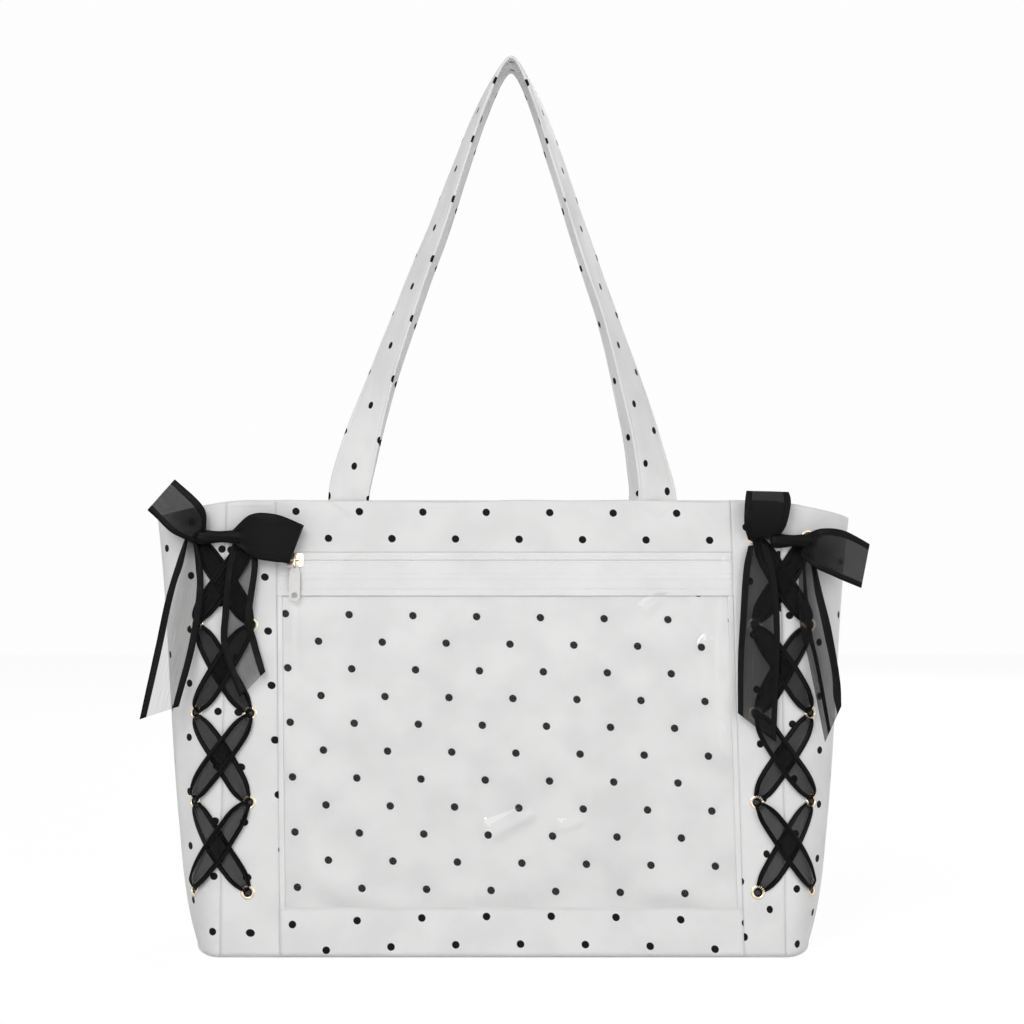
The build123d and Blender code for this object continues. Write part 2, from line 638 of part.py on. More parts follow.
def strap():
    """The front strap: up from one root, over the top and down to the other, twisting edge-on."""
    root_y = -half_depth(BAG_HEIGHT) + (STRAP_TAIL[0] + STRAP_TAIL[1]) / 2
    top_y = -(STRAP_WIDTH + STRAP_GAP) / 2
    centre_z = STRAP_APEX_Z - STRAP_BEND
    run = [(-x, z, twist) for z, x, twist in STRAP_RUN]
    for angle in (25, 55):
        turn = math.radians(angle)
        run.append((-STRAP_BEND * math.cos(turn), centre_z + STRAP_BEND * math.sin(turn), 88))
    run.append((0, STRAP_APEX_Z, 90))
    run = run + [(-x, z, twist) for x, z, twist in reversed(run[:-1])]
    faces = []
    for index, (x, z, twist) in enumerate(run):
        before = run[max(index - 1, 0)]
        after = run[min(index + 1, len(run) - 1)]
        travel = Vector(after[0] - before[0], 0, after[1] - before[1]).normalized()
        rise = (z - STRAP_HINGE_Z) / (STRAP_APEX_Z - STRAP_HINGE_Z)
        point = (x + STRAP_LEAN * rise, z)
        faces.append(strap_section(point, travel, twist, root_y + (top_y - root_y) * rise))
    return loft(faces)


def make_straps():
    front = strap()
    parts["strap_front"] = front
    parts["strap_back"] = mirror(front, about=Plane.XZ)
    parts["strap_tails_front"] = strap_tails()
    parts["strap_tails_back"] = mirror(strap_tails(), about=Plane.XZ)


make_base()
make_walls()
make_lining()
make_pocket()
make_chain()
make_slider()
make_eyelets()
make_lacing()
make_bows()
make_straps()

os.makedirs("parts", exist_ok=True)
for name, solid in parts.items():
    export_step(solid, "parts/" + name + ".step")
    print(name, len(solid.solids()), round(solid.volume, 1))
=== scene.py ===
"""Looks of the laced polka-dot tote bag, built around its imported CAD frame.

Lengths are millimetres until a mesh is made. x runs to the right and z up, as in the frame.
"""
import math

import bpy
import numpy as np
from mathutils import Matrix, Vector, noise


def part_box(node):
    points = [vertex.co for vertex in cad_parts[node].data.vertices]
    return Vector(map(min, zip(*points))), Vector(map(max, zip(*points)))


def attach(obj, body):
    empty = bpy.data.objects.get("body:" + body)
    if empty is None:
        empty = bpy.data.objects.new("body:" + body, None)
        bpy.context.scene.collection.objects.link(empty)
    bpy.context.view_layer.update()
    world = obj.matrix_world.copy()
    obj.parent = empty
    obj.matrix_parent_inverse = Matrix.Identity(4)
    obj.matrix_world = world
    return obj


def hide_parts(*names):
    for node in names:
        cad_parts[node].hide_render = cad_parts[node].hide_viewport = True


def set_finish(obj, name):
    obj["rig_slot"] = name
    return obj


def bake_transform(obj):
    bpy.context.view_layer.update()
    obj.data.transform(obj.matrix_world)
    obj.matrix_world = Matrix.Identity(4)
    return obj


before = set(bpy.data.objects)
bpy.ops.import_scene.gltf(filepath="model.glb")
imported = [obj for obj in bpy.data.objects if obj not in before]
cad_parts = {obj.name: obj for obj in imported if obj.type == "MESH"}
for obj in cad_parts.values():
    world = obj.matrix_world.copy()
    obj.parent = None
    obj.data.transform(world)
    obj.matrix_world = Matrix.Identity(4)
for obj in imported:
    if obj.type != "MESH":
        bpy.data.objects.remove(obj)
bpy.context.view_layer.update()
MM = 0.001


def corner(node, high):
    """A CAD node's lowest or highest corner, in millimetres."""
    return Vector(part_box(node)[1 if high else 0]) / MM


# ---- the bag's form, as the frame has it
BAG_HEIGHT = corner("back_panel", True).z
FOLD = corner("back_panel", True).x  # middle to the corner fold
SEAM = corner("front_top_band", True).x  # middle to the centre panel's seams
BASE_HALF_DEPTH = 59.0
MOUTH_HALF_DEPTH = 27.0
SLOPE = math.atan2(BASE_HALF_DEPTH - MOUTH_HALF_DEPTH, BAG_HEIGHT)
COS, SIN = math.cos(SLOPE), math.sin(SLOPE)
WALL_TOP = BAG_HEIGHT / COS  # length of the wall up its slope
HEM_DROOP = 12.0
DROOP_START = 12.0  # the droop starts this far inside the fold
SKEW = 6.0  # the centre panel leans: its foot is this far right
WALL_FOOT = 1.6
BASE_LEVEL = 6.0  # the base follows the walls' section at this height

EYELET_PITCH = 56.3
EYELET_Z = [41.0 + EYELET_PITCH * row for row in range(5)]
EYELET_FRONT = -17.0  # from the fold, on the front
EYELET_GUSSET_X = 18.0  # from the fold, across, on the gusset
RIBBON = 25.0
RIBBON_THICK = 0.25
SATIN = 2.9  # width of a ribbon's satin edges
CLOTH = 0.9  # thickness of the outer cloth
THIN = 0.4  # and of the lining and the pocket's backing
TAPE_THICK = 0.35
WINDOW_FOOT, WINDOW_HEAD = 30, 234
BAND_FOOT = 258
STRAP_ROOTS = (-97.5, 100.0)  # middles of the straps' sewn-in ends, on the front
SIDES = (("right", 1), ("left", -1))


def half_depth(z):
    return BASE_HALF_DEPTH - (BASE_HALF_DEPTH - MOUTH_HALF_DEPTH) * z / BAG_HEIGHT


def reach(z):
    return 18.0 + 12.0 * (1 - np.exp(-z / 35.0)) + 0.055 * z + 3.0 * (z / BAG_HEIGHT) ** 6


def front(x, v, w):
    """A point of the front: across, up the slope and out of it."""
    x, v, w = np.broadcast_arrays(np.asarray(x, float), v, w)
    return np.stack([x, -BASE_HALF_DEPTH + v * SIN - w * COS, v * COS + w * SIN], -1)


def oval(z):
    """Arc length, x and y of the right gusset's section at a height, from the front fold round."""
    turn = np.linspace(0, math.pi, 181)
    x = FOLD + reach(z) * np.sin(turn)
    y = -half_depth(z) * np.cos(turn)
    arc = np.concatenate([[0], np.cumsum(np.hypot(np.diff(x), np.diff(y)))])
    return arc, turn, x, y


def girth(z):
    return oval(z)[0][-1]


def wrap(a, z, w):
    """Points round the right side: a is the way past the front fold, negative on the front itself."""
    a, z, w = np.broadcast_arrays(np.asarray(a, float), z, w)
    out = np.empty(a.shape + (3,))
    for index in np.ndindex(a.shape):
        out[index] = wrap_one(a[index], float(z[index]), w[index])
    return out


def kept_oval(z, kept={}):
    """The section at a height, worked out once for every hundredth of a millimetre."""
    key = round(z, 2)
    if key not in kept:
        kept[key] = oval(z)
    return kept[key]


def wrap_one(a, z, w):
    if a < 0:
        return (FOLD + a, -half_depth(z) - w * COS, z + w * SIN)
    arc, turn, xs, ys = kept_oval(z)
    if a > arc[-1]:
        return (FOLD - a + arc[-1], half_depth(z) + w * COS, z + w * SIN)
    angle = np.interp(a, arc, turn)
    x, y = np.interp(a, arc, xs), np.interp(a, arc, ys)
    nx, ny = math.sin(angle) * half_depth(z), -math.cos(angle) * reach(z)
    size = math.hypot(nx, ny)
    return (x + nx / size * w, y + ny / size * w, z + w * SIN * abs(ny / size))


def gusset_arc(z):
    """Arc length from the fold to the gusset's eyelets."""
    arc, _, xs, _ = oval(z)
    return float(np.interp(FOLD + EYELET_GUSSET_X, xs[:91], arc[:91]))


EYELETS = [(EYELET_FRONT, z) for z in EYELET_Z] + [(gusset_arc(z), z) for z in EYELET_Z]


def hem_height(x):
    """Height of the hem over a gusset."""
    tip = FOLD + reach(BAG_HEIGHT) + 2
    share = np.clip((np.abs(x) - FOLD + DROOP_START) / (tip - FOLD + DROOP_START), 0, 1)
    return BAG_HEIGHT - HEM_DROOP * share ** 1.5


# ---- mesh helpers
def smooth_noise(points, size, seed):
    """Noise from -1 to 1 over rows of points, with features of a size in millimetres."""
    flat = np.asarray(points, float).reshape(-1, 3) / size
    values = [noise.noise(Vector(p) + Vector((seed * 17.3, seed * 5.1, seed * 9.7))) for p in flat]
    return np.array(values).reshape(np.asarray(points).shape[:-1])


def bell(t):
    return np.exp(-t ** 2)


def run_length(path):
    """The way along a path to each of its points."""
    return np.concatenate([[0], np.cumsum(np.linalg.norm(np.diff(path, axis=0), axis=1))])


def unit(v):
    return v / max(np.linalg.norm(v), 1e-9)


def normals(grid):
    n = np.cross(np.gradient(grid, axis=1), np.gradient(grid, axis=0))
    return n / np.maximum(np.linalg.norm(n, axis=-1, keepdims=True), 1e-9)


def link(obj):
    bpy.context.scene.collection.objects.link(obj)
    return obj


def bare_object(name, verts, faces):
    mesh = bpy.data.meshes.new(name)
    mesh.from_pydata([tuple(v) for v in np.asarray(verts) * MM], [], faces)
    return link(bpy.data.objects.new(name, mesh))


def new_object(name, verts, faces, material, slot, body="bag", uvs=None, data=None):
    obj = bare_object(name, verts, faces)
    mesh = obj.data
    if uvs is not None:
        layer = mesh.uv_layers.new(name="cloth")
        index = np.zeros(len(mesh.loops), np.int32)
        mesh.loops.foreach_get("vertex_index", index)
        layer.data.foreach_set("uv", np.asarray(uvs, np.float32)[index].ravel())
    for key, values in (data or {}).items():
        mesh.attributes.new(key, "FLOAT", "POINT").data.foreach_set("value", np.float32(values))
    mesh.polygons.foreach_set("use_smooth", [True] * len(mesh.polygons))
    mesh.materials.append(material)
    mesh.update()
    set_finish(obj, slot)
    if body:
        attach(obj, body)
    return obj


def quads(rows, cols, base=0, flip=False, round_cols=False):
    faces = []
    for r in range(rows - 1):
        for c in range(cols if round_cols else cols - 1):
            d = (c + 1) % cols
            quad = (base + r * cols + c, base + r * cols + d,
                    base + (r + 1) * cols + d, base + (r + 1) * cols + c)
            faces.append(quad[::-1] if flip else quad)
    return faces


def tube(rows, cols, base=0, flip=True, turn_ends=False):
    """Faces of a tube made of rings of points, with both its ends closed."""
    first, last = (tuple(range(start, start + cols)) for start in (base, base + (rows - 1) * cols))
    ends = [first[::-1], last] if turn_ends else [first, last[::-1]]
    return quads(rows, cols, base, flip, True) + ends


def shell(grid, thick, flip=False):
    """Vertices and faces of a closed sheet: a grid, its offset, and the walls between their rims."""
    rows, cols = grid.shape[:2]
    back = grid - normals(grid) * (thick if not flip else -thick)
    verts = np.concatenate([grid.reshape(-1, 3), back.reshape(-1, 3)])
    count = rows * cols
    faces = quads(rows, cols, 0, flip=not flip) + quads(rows, cols, count, flip=flip)
    rim = list(range(cols))
    rim += [r * cols + cols - 1 for r in range(1, rows)]
    rim += [(rows - 1) * cols + c for c in range(cols - 2, -1, -1)]
    rim += [r * cols for r in range(rows - 2, 0, -1)]
    for a, b in zip(rim, rim[1:] + rim[:1]):
        wall = (a, b, b + count, a + count)
        faces.append(wall[::-1] if flip else wall)
    return verts, faces


def doubled(values):
    """Values for both faces of a closed sheet."""
    return np.concatenate([values] * 2)


def cloth_piece(name, grid, uv, thick, material, slot, flip=False):
    verts, faces = shell(grid, thick, flip)
    return new_object(name, verts, faces, material, slot, uvs=doubled(uv.reshape(-1, 2)))


def joined(parts):
    """Several (vertices, faces, values...) parts as one."""
    faces, base = [], 0
    for verts, own_faces, *_ in parts:
        faces += [tuple(i + base for i in face) for face in own_faces]
        base += len(verts)
    verts, _, *values = zip(*parts)
    return [np.concatenate(verts), faces, *map(np.concatenate, values)]


def on_side(grid, sign):
    """A grid of the right side, mirrored where the sign is that of the left."""
    return grid * np.array([sign, 1.0, 1.0])


TO_BACK = np.array([1.0, -1.0, 1.0])


STITCH_PROFILE = ((0.0, 0.35), (0.2, 0.95), (0.8, 0.95), (1.0, 0.35))  # shares of length and radius
STITCH_SIDES = 6


def stitches(name, path, pitch, length, radius):
    """A row of thread stitches along a path, each a small spindle lying on the cloth."""
    arc = run_length(path)
    verts, faces = [], []
    for index in range(int(arc[-1] / pitch)):
        middle = (index + 0.5) * pitch
        ends = [np.array([np.interp(s, arc, path[:, k]) for k in range(3)])
                for s in (middle - length / 2, middle + length / 2)]
        along = ends[1] - ends[0]
        side = unit(np.cross(along, (0, -1, 0)))
        up = unit(np.cross(side, along))
        base = len(verts)
        for share, size in STITCH_PROFILE:
            for turn in np.arange(STITCH_SIDES) * 2 * math.pi / STITCH_SIDES:
                spoke = side * math.cos(turn) + up * math.sin(turn)
                verts.append(ends[0] + along * share + spoke * radius * size)
        faces += tube(len(STITCH_PROFILE), STITCH_SIDES, base)
    return new_object(name, verts, faces, THREAD, "dotted_fabric")


# ---- materials
class Shader:
    """The nodes of a material, or of a world, written as short calls."""

    def __init__(self, name, owner=None, output="OutputMaterial"):
        self.owner = owner or bpy.data.materials.new(name)
        self.owner.use_nodes = True
        self.tree = self.owner.node_tree
        self.tree.nodes.clear()
        self.out = self.node(output)

    def surface(self, node):
        self.put(self.out.inputs["Surface"], node.outputs[0])
        return self.owner

    def put(self, socket, value):
        if isinstance(value, bpy.types.NodeSocket):
            self.tree.links.new(value, socket)
        else:
            socket.default_value = value

    def node(self, kind, inputs=None, **settings):
        node = self.tree.nodes.new("ShaderNode" + kind)
        for key, value in settings.items():
            setattr(node, key, value)
        for key, value in (inputs or {}).items():
            self.put(node.inputs[key], value)
        return node

    def math(self, operation, *values):
        node = self.node("Math", operation=operation)
        for socket, value in zip(node.inputs, values):
            self.put(socket, value)
        return node.outputs[0]

    def ramp(self, value, low, high, to_low=0.0, to_high=1.0):
        inputs = {"Value": value, "From Min": low, "From Max": high,
                  "To Min": to_low, "To Max": to_high}
        return self.node("MapRange", inputs, interpolation_type="SMOOTHSTEP").outputs[0]

    def mix(self, factor, a, b):
        node = self.node("Mix", data_type="RGBA")
        self.put(node.inputs["Factor"], factor)
        self.put(node.inputs[6], a)
        self.put(node.inputs[7], b)
        return node.outputs[2]

    def noise(self, vector, scale, detail=2.0):
        inputs = {"Vector": vector, "Scale": scale, "Detail": detail}
        return self.node("TexNoise", inputs).outputs["Fac"]

    def wave(self, vector, scale, distortion, direction):
        inputs = {"Vector": vector, "Scale": scale, "Distortion": distortion}
        return self.node("TexWave", inputs, bands_direction=direction).outputs["Fac"]

    def uv(self):
        return self.node("UVMap", uv_map="cloth").outputs[0]

    def place(self):
        return self.node("TexCoord").outputs["Object"]

    def bump(self, height, strength, distance):
        inputs = {"Height": height, "Strength": strength, "Distance": distance}
        return self.node("Bump", inputs).outputs[0]

    def finish(self, **inputs):
        names = {"color": "Base Color", "rough": "Roughness", "metal": "Metallic", "normal": "Normal",
                 "alpha": "Alpha", "sheen": "Sheen Weight", "specular": "Specular IOR Level",
                 "coat": "Coat Weight", "coat_rough": "Coat Roughness"}
        return self.surface(self.node("BsdfPrincipled", {names[k]: v for k, v in inputs.items()}))


WHITE = (0.775, 0.773, 0.77, 1)
WHITE_SHADE = (0.72, 0.718, 0.716, 1)
INK = (0.004, 0.004, 0.0045, 1)
DOT_PITCH = 41.0  # along a row
DOT_ROWS = 34.8  # two rows
DOT_RADIUS = 2.4


def cloth_finish(s, uv, mask, white, shade, rough=0.5, woven=0.08):
    """Woven, softly coated cloth: faint mottling, a fine weave and small creases."""
    mottle = s.noise(uv, 1.1, 4.0)
    base = s.mix(s.ramp(mottle, 0.35, 0.7), white, shade)
    color = base if mask is None else s.mix(mask, base, INK)
    weave = s.math("MULTIPLY", s.wave(uv, 38.0, 0.4, "X"), s.wave(uv, 32.0, 0.4, "Y"))
    crease = s.noise(uv, 2.6, 5.0)
    height = s.math("ADD", s.math("MULTIPLY", weave, woven), s.math("MULTIPLY", crease, 0.9))
    gloss = s.ramp(mottle, 0.3, 0.7, rough - 0.05, rough + 0.07)
    normal = s.bump(height, 0.28, 0.0012)
    return s.finish(color=color, rough=gloss, normal=normal, specular=0.1)


def dotted_cloth(name, white=WHITE, shade=WHITE_SHADE, woven=0.08):
    """White cloth with a printed lattice of small black dots; UV units are lattice cells."""
    s = Shader(name)
    uv = s.uv()
    split = s.node("SeparateXYZ", {"Vector": uv})
    spots = []
    for shift in (0.5, 1.0):
        legs = []
        for axis, size in ((0, DOT_PITCH), (1, DOT_ROWS)):
            cell = s.math("FRACT", s.math("ADD", split.outputs[axis], shift))
            legs.append(s.math("MULTIPLY", s.math("SUBTRACT", cell, 0.5), size))
        square = [s.math("MULTIPLY", leg, leg) for leg in legs]
        spots.append(s.math("SQRT", s.math("ADD", *square)))
    away = s.math("MINIMUM", *spots)
    away = s.math("ADD", away, s.math("MULTIPLY", s.noise(uv, 45.0), 0.35))
    mask = s.ramp(away, DOT_RADIUS + 0.02, DOT_RADIUS + 0.38, 1.0, 0.0)
    return cloth_finish(s, uv, mask, white, shade, woven=woven)


def plain_cloth(name, white, shade, rough):
    s = Shader(name)
    return cloth_finish(s, s.uv(), None, white, shade, rough)


def thread():
    s = Shader("thread")
    strand = s.wave(s.place(), 900.0, 0.0, "DIAGONAL")
    color = s.mix(strand, (0.70, 0.70, 0.70, 1), (0.86, 0.86, 0.86, 1))
    return s.finish(color=color, rough=0.55, sheen=0.2)


def organza():
    """Sheer black ribbon: satin along both edges, an open weave between. V runs across the ribbon."""
    s = Shader("organza")
    uv = s.uv()
    across = s.node("SeparateXYZ", {"Vector": uv}).outputs[1]
    rim = s.math("MULTIPLY", s.math("ABSOLUTE", s.math("SUBTRACT", across, 0.5)), RIBBON)
    satin = s.ramp(rim, RIBBON / 2 - SATIN - 0.25, RIBBON / 2 - SATIN + 0.1)
    gather = s.node("Attribute", attribute_name="gather").outputs["Fac"]
    stretched = s.node("Mapping", {"Vector": uv, "Scale": (0.35, 14.0, 1.0)}).outputs[0]
    cloud = s.noise(stretched, 3.0, 5.0)
    sheer = s.ramp(cloud, 0.3, 0.72, 0.08, 0.15)
    sheer = s.math("ADD", sheer, s.math("MULTIPLY", gather, 0.8))
    alpha = s.math("MINIMUM", s.math("MAXIMUM", sheer, satin), 1.0)
    color = s.mix(satin, (0.006, 0.006, 0.007, 1), (0.002, 0.002, 0.0024, 1))
    rough = s.ramp(satin, 0.0, 1.0, 0.55, 0.42)
    return s.finish(color=color, rough=rough, alpha=alpha, sheen=0.03, specular=0.1,
                    normal=s.bump(s.wave(uv, 3.0, 1.5, "X"), 0.1, 0.0004))


def dense_organza():
    s = Shader("organza_gathered")
    weave = s.noise(s.place(), 900.0, 4.0)
    color = s.mix(weave, (0.004, 0.004, 0.005, 1), (0.016, 0.016, 0.018, 1))
    return s.finish(color=color, rough=0.5, sheen=0.12)


def metal():
    s = Shader("pale_gold")
    place = s.place()
    color = s.mix(s.noise(place, 90.0, 3.0), (0.86, 0.74, 0.58, 1), (0.78, 0.66, 0.52, 1))
    rough = s.ramp(s.noise(place, 700.0, 2.0), 0.3, 0.7, 0.16, 0.27)
    return s.finish(color=color, rough=rough, metal=1.0)


def film():
    """Clear window film: see-through, with a gloss that shows where it ripples."""
    s = Shader("clear_film")
    clear = s.node("BsdfTransparent", {"Color": (1, 1, 1, 1)})
    gloss = s.node("BsdfGlossy", {"Color": (1, 1, 1, 1), "Roughness": 0.04})
    fresnel = s.node("Fresnel", {"IOR": 1.25})
    return s.surface(s.node("MixShader", {0: fresnel.outputs[0], 1: clear.outputs[0], 2: gloss.outputs[0]}))


def enamel():
    s = Shader("tab_enamel")
    mottle = s.noise(s.place(), 400.0, 3.0)
    color = s.mix(mottle, (0.70, 0.695, 0.68, 1), (0.62, 0.615, 0.60, 1))
    rough = s.ramp(mottle, 0.3, 0.7, 0.32, 0.42)
    return s.finish(color=color, rough=rough, coat=0.15, coat_rough=0.25)


def felt():
    s = Shader("interlining_felt")
    fibre = s.noise(s.place(), 900.0, 6.0)
    color = s.mix(fibre, (0.66, 0.66, 0.65, 1), (0.78, 0.78, 0.77, 1))
    return s.finish(color=color, rough=0.9, normal=s.bump(fibre, 0.5, 0.0005))


def board():
    s = Shader("grey_board")
    speck = s.noise(s.place(), 500.0, 6.0)
    color = s.mix(s.ramp(speck, 0.4, 0.65), (0.42, 0.38, 0.32, 1), (0.56, 0.52, 0.45, 1))
    return s.finish(color=color, rough=0.85, normal=s.bump(speck, 0.3, 0.0003))


def zip_nylon():
    s = Shader("zip_nylon")
    color = s.mix(s.noise(s.place(), 300.0, 3.0), (0.78, 0.78, 0.77, 1), (0.86, 0.86, 0.85, 1))
    return s.finish(color=color, rough=0.38)


DOTTED = dotted_cloth("dotted_cloth")
# The pocket's backing is the same dotted cloth as the bands. Its colour is painted brighter here, as painted
# light, to make up for the light lost through the clear film.
BRIGHTENED_POCKET_BACK = dotted_cloth("pocket_back_cloth_painted_light", (0.83, 0.828, 0.825, 1), (0.77, 0.768, 0.766, 1))
STRAP_CLOTH = dotted_cloth("strap_cloth", woven=0.0)
PLAIN = plain_cloth("plain_cloth", WHITE, WHITE_SHADE, 0.5)
LINING = plain_cloth("lining_cloth", (0.76, 0.755, 0.74, 1), (0.71, 0.705, 0.69, 1), 0.7)
TAPE = plain_cloth("zip_tape_cloth", (0.80, 0.80, 0.80, 1), (0.75, 0.75, 0.75, 1), 0.65)
THREAD = thread()
ORGANZA = organza()
ORGANZA_DENSE = dense_organza()
GOLD = metal()
FILM = film()
ENAMEL = enamel()
NYLON = zip_nylon()
FELT = felt()
BOARD = board()


# ---- dot lattices
def lattice(x, v, start, tilt=0.0, lean=0.0):
    """Cloth coordinates in lattice cells, with a dot at start; tilt and lean are in degrees."""
    x, v = np.broadcast_arrays(np.asarray(x, float) - start[0], np.asarray(v, float) - start[1])
    across = x + math.tan(math.radians(lean)) * v
    up = v + math.tan(math.radians(tilt)) * x
    return np.stack([across / DOT_PITCH, up / DOT_ROWS], -1)


# ---- front panel
def skewed(x, v):
    """The centre panel leans a little: its lower part lies further right."""
    share = np.clip((FOLD - np.abs(x)) / (FOLD - SEAM), 0, 1)
    return x + SKEW * (1 - v / WALL_TOP) * share


def crease(x, v, start, end, width):
    """A soft ridge along a line from start to end, fading at both ends."""
    along = np.array(end, float) - start
    length = math.hypot(*along)
    along /= length
    dx, dv = x - start[0], v - start[1]
    t = (dx * along[0] + dv * along[1]) / length
    off = dx * along[1] - dv * along[0]
    fade = np.exp(-np.clip(np.abs(t - 0.5) - 0.35, 0, None) ** 2 / 0.02)
    return bell(off / width) * fade


def folds(x, v, table, high=1.0, wide=1.0):
    """The sum of a table's soft ridges, each given as its start, end, height and width."""
    return sum(h * high * crease(x, v, a, b, w * wide) for a, b, h, w in table)


def flat_piece(name, v0, v1, step, relief, start, node, material=DOTTED, thick=CLOTH,
               slot="dotted_fabric", tilt=0.9, lean=2.3, edge=None, bend=0.0):
    """A panel of the front between its seams, with relief(x, v) millimetres standing out of it.

    Bend curves the rows of its print.
    """
    xs = np.linspace(-SEAM, SEAM, int(2 * SEAM / step) + 1)
    vs = np.linspace(v1, v0, int((v1 - v0) / step) + 1)
    x, v = np.meshgrid(xs, vs)
    if edge is not None:
        v = v + edge(x) * (v - v0) / (v1 - v0)
    grid = front(skewed(x, v), v, relief(x, v))
    print_v = v + bend * (((x - 45) / 180) ** 2 - 0.33)
    piece = cloth_piece(name, grid, lattice(x, print_v, start, tilt, lean), thick, material, slot)
    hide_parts(node)


def hem_wave(x):
    wave = 0.5 * np.sin(x / 31.0) + 0.35 * np.sin(x / 13.0 + 1.0) - 0.4
    return wave * np.clip((SEAM - np.abs(x)) / 8.0, 0, 1)


def root_patch(x, v, middle):
    """The raised point of a strap's sewn-in end, under the hem."""
    depth = np.minimum(v - 281.0, 40.0) - np.abs(x - middle) * 0.72
    return 0.8 / (1 + np.exp(-np.clip(depth / 0.35, -30, 30)))


BAND_FOLDS = [  # start, end, height and width of a soft fold
    ((-62, 292), (-74, 262), 0.5, 4), ((-8, 290), (10, 262), 0.45, 5), ((66, 291), (52, 264), 0.4, 4),
]


def band_relief(x, v):
    soft = 0.35 * np.sin(x / 19.0 + v / 40.0) * np.sin((v - BAND_FOOT) / 34.0 * math.pi)
    return 0.25 + soft + folds(x, v, BAND_FOLDS) + sum(root_patch(x, v, middle) for middle in STRAP_ROOTS)


def bottom_relief(x, v):
    return 0.35 + 0.3 * np.sin(x / 27.0) * np.sin(v / 28.0 * math.pi)


WINDOW_FOLDS = [
    ((-128, 60), (-60, 12), 1.0, 10), ((-138, 120), (-118, 40), 0.9, 7), ((-40, 30), (40, 60), 0.8, 12),
    ((20, 90), (120, 30), 0.9, 12), ((90, 215), (140, 120), 1.1, 9), ((120, 235), (139, 180), 1.2, 6),
    ((-100, 220), (-30, 170), 0.8, 14), ((30, 200), (100, 150), 0.8, 13),
    ((-120, 150), (-40, 110), 0.7, 14), ((0, 160), (60, 100), 0.7, 14), ((-10, 225), (10, 130), 0.6, 12),
]


def window_rim(x, v, side, foot, head):
    """Nothing at the window's edges, rising to one over the given widths."""
    upright = np.minimum((v - WINDOW_FOOT) / foot, (WINDOW_HEAD - v) / head)
    return np.clip(np.minimum((SEAM - np.abs(x)) / side, upright), 0, 1)


def backing_relief(x, v):
    rise = folds(x, v, WINDOW_FOLDS, 0.9, 1.05)
    return -0.35 + (np.minimum(rise, 1.7) - 0.55) * window_rim(x, v, 16.0, 14.0, 14.0)


GLINTS = [  # short sharp ripples that catch the lamp
    ((86, 221), (104, 233), 1.1, 3.4), ((124, 196), (132, 204), 1.0, 3.0),
    ((-17, 79), (14, 93), 1.9, 6.0), ((30, 83), (46, 88), 1.0, 3.2),
]


def film_relief(x, v):
    rise = folds(x, v, WINDOW_FOLDS)
    rise = rise + 0.35 * np.sin(x / 17.0 + v / 23.0) + 0.25 * np.sin(x / 9.0 - v / 14.0 + 2.0)
    rise = rise * np.clip((228 - v) / 34.0, 0, 1)
    rim = window_rim(x, v, 12.0, 10.0, 8.0)
    side = 0.8 * bell((np.abs(x) - 136) / 2.0) * np.clip((v - 150) / 60, 0, 1)
    return 0.1 + (0.5 + rise + side) * rim + folds(x, v, GLINTS) * np.clip(rim * 3, 0, 1)


def make_front():
    flat_piece("top_band", BAND_FOOT, WALL_TOP, 1.3, band_relief, (-134.0, 284.6), "front_top_band",
               edge=hem_wave, tilt=0.3, lean=1.0)
    flat_piece("bottom_band", WALL_FOOT, 31, 2.6, bottom_relief, (-138.9, 26.5), "front_bottom_band",
               bend=7.5)
    # The backing behind the window wears the brightened copy of the dotted cloth: painted light.
    flat_piece("pocket_backing_cloth", 8, 257, 3.0, backing_relief, (-141.6, 218.5), "pocket_backing",
               BRIGHTENED_POCKET_BACK, THIN, lean=1.95)
    flat_piece("window_film", 29, 232, 1.7, film_relief, (0, 0), "pocket_window", FILM, 0.35, "clear_film")


# ---- sides
def side_grid(a0, a1, cols, rows, relief):
    """Cloth round a corner, from a0 to a1 past the fold; a1 None runs to the back fold."""
    grid = np.empty((rows, cols, 3))
    uv = np.empty((rows, cols, 2))
    for r, c in np.ndindex(rows, cols):
        share, part = 1 - r / (rows - 1), c / (cols - 1)
        z = WALL_FOOT + share * (BAG_HEIGHT - WALL_FOOT)
        for _ in range(3):
            a = a0 + ((girth(z) if a1 is None else a1) - a0) * part
            x = wrap_one(a, z, 0)[0]
            z = WALL_FOOT + share * (float(hem_height(x)) - WALL_FOOT)
        grid[r, c] = wrap_one(a, z, relief(a, z))
        uv[r, c] = (a, z / COS)
    return grid, uv


def calm(a, z):
    """Nothing at an eyelet or along the fold, rising to one away from them."""
    away = min(math.hypot(a - place, z - height) for place, height in EYELETS)
    return (1 - bell(away / 10.0)) * (1 - bell(a / 6))


def gusset_relief(a, z):
    high = z / BAG_HEIGHT
    rise = 1.6 * bell((a - 34 - 10 * high) / 7) * math.sin(math.pi * min(1, high * 1.1)) ** 2
    rise += 1.3 * bell((a - 74 + 8 * high) / 9) * high
    rise -= 1.0 * bell((a - 56) / 8) * high
    return 0.15 + (rise + 0.25 * math.sin(a / 6 + z / 35)) * calm(a, z)


def strip_relief(a, z):
    return 0.15 + 0.3 * math.sin(z / 45 + a / 9) * calm(a, z)


def corner_relief(a, z):
    """How far the cloth stands out anywhere on a laced corner."""
    return strip_relief(a, z) if a < 0 else gusset_relief(a, z)


SIDE_CLOTHS = (  # name, node, run past the fold, columns, relief, and on each side a dot and the lean
    ("side_strip_", "front_side_strip_", SEAM - FOLD, 0.0, 17, strip_relief,
     {"right": ((-16.2, 135.0), 2.5), "left": ((-24.8, 242.0), -3.0)}),
    ("gusset_cloth_", "gusset_", 0.0, None, 64, gusset_relief,
     {"right": ((27.0, 130.0), 0.8), "left": ((3.4, 155.7), 0.6)}),
)


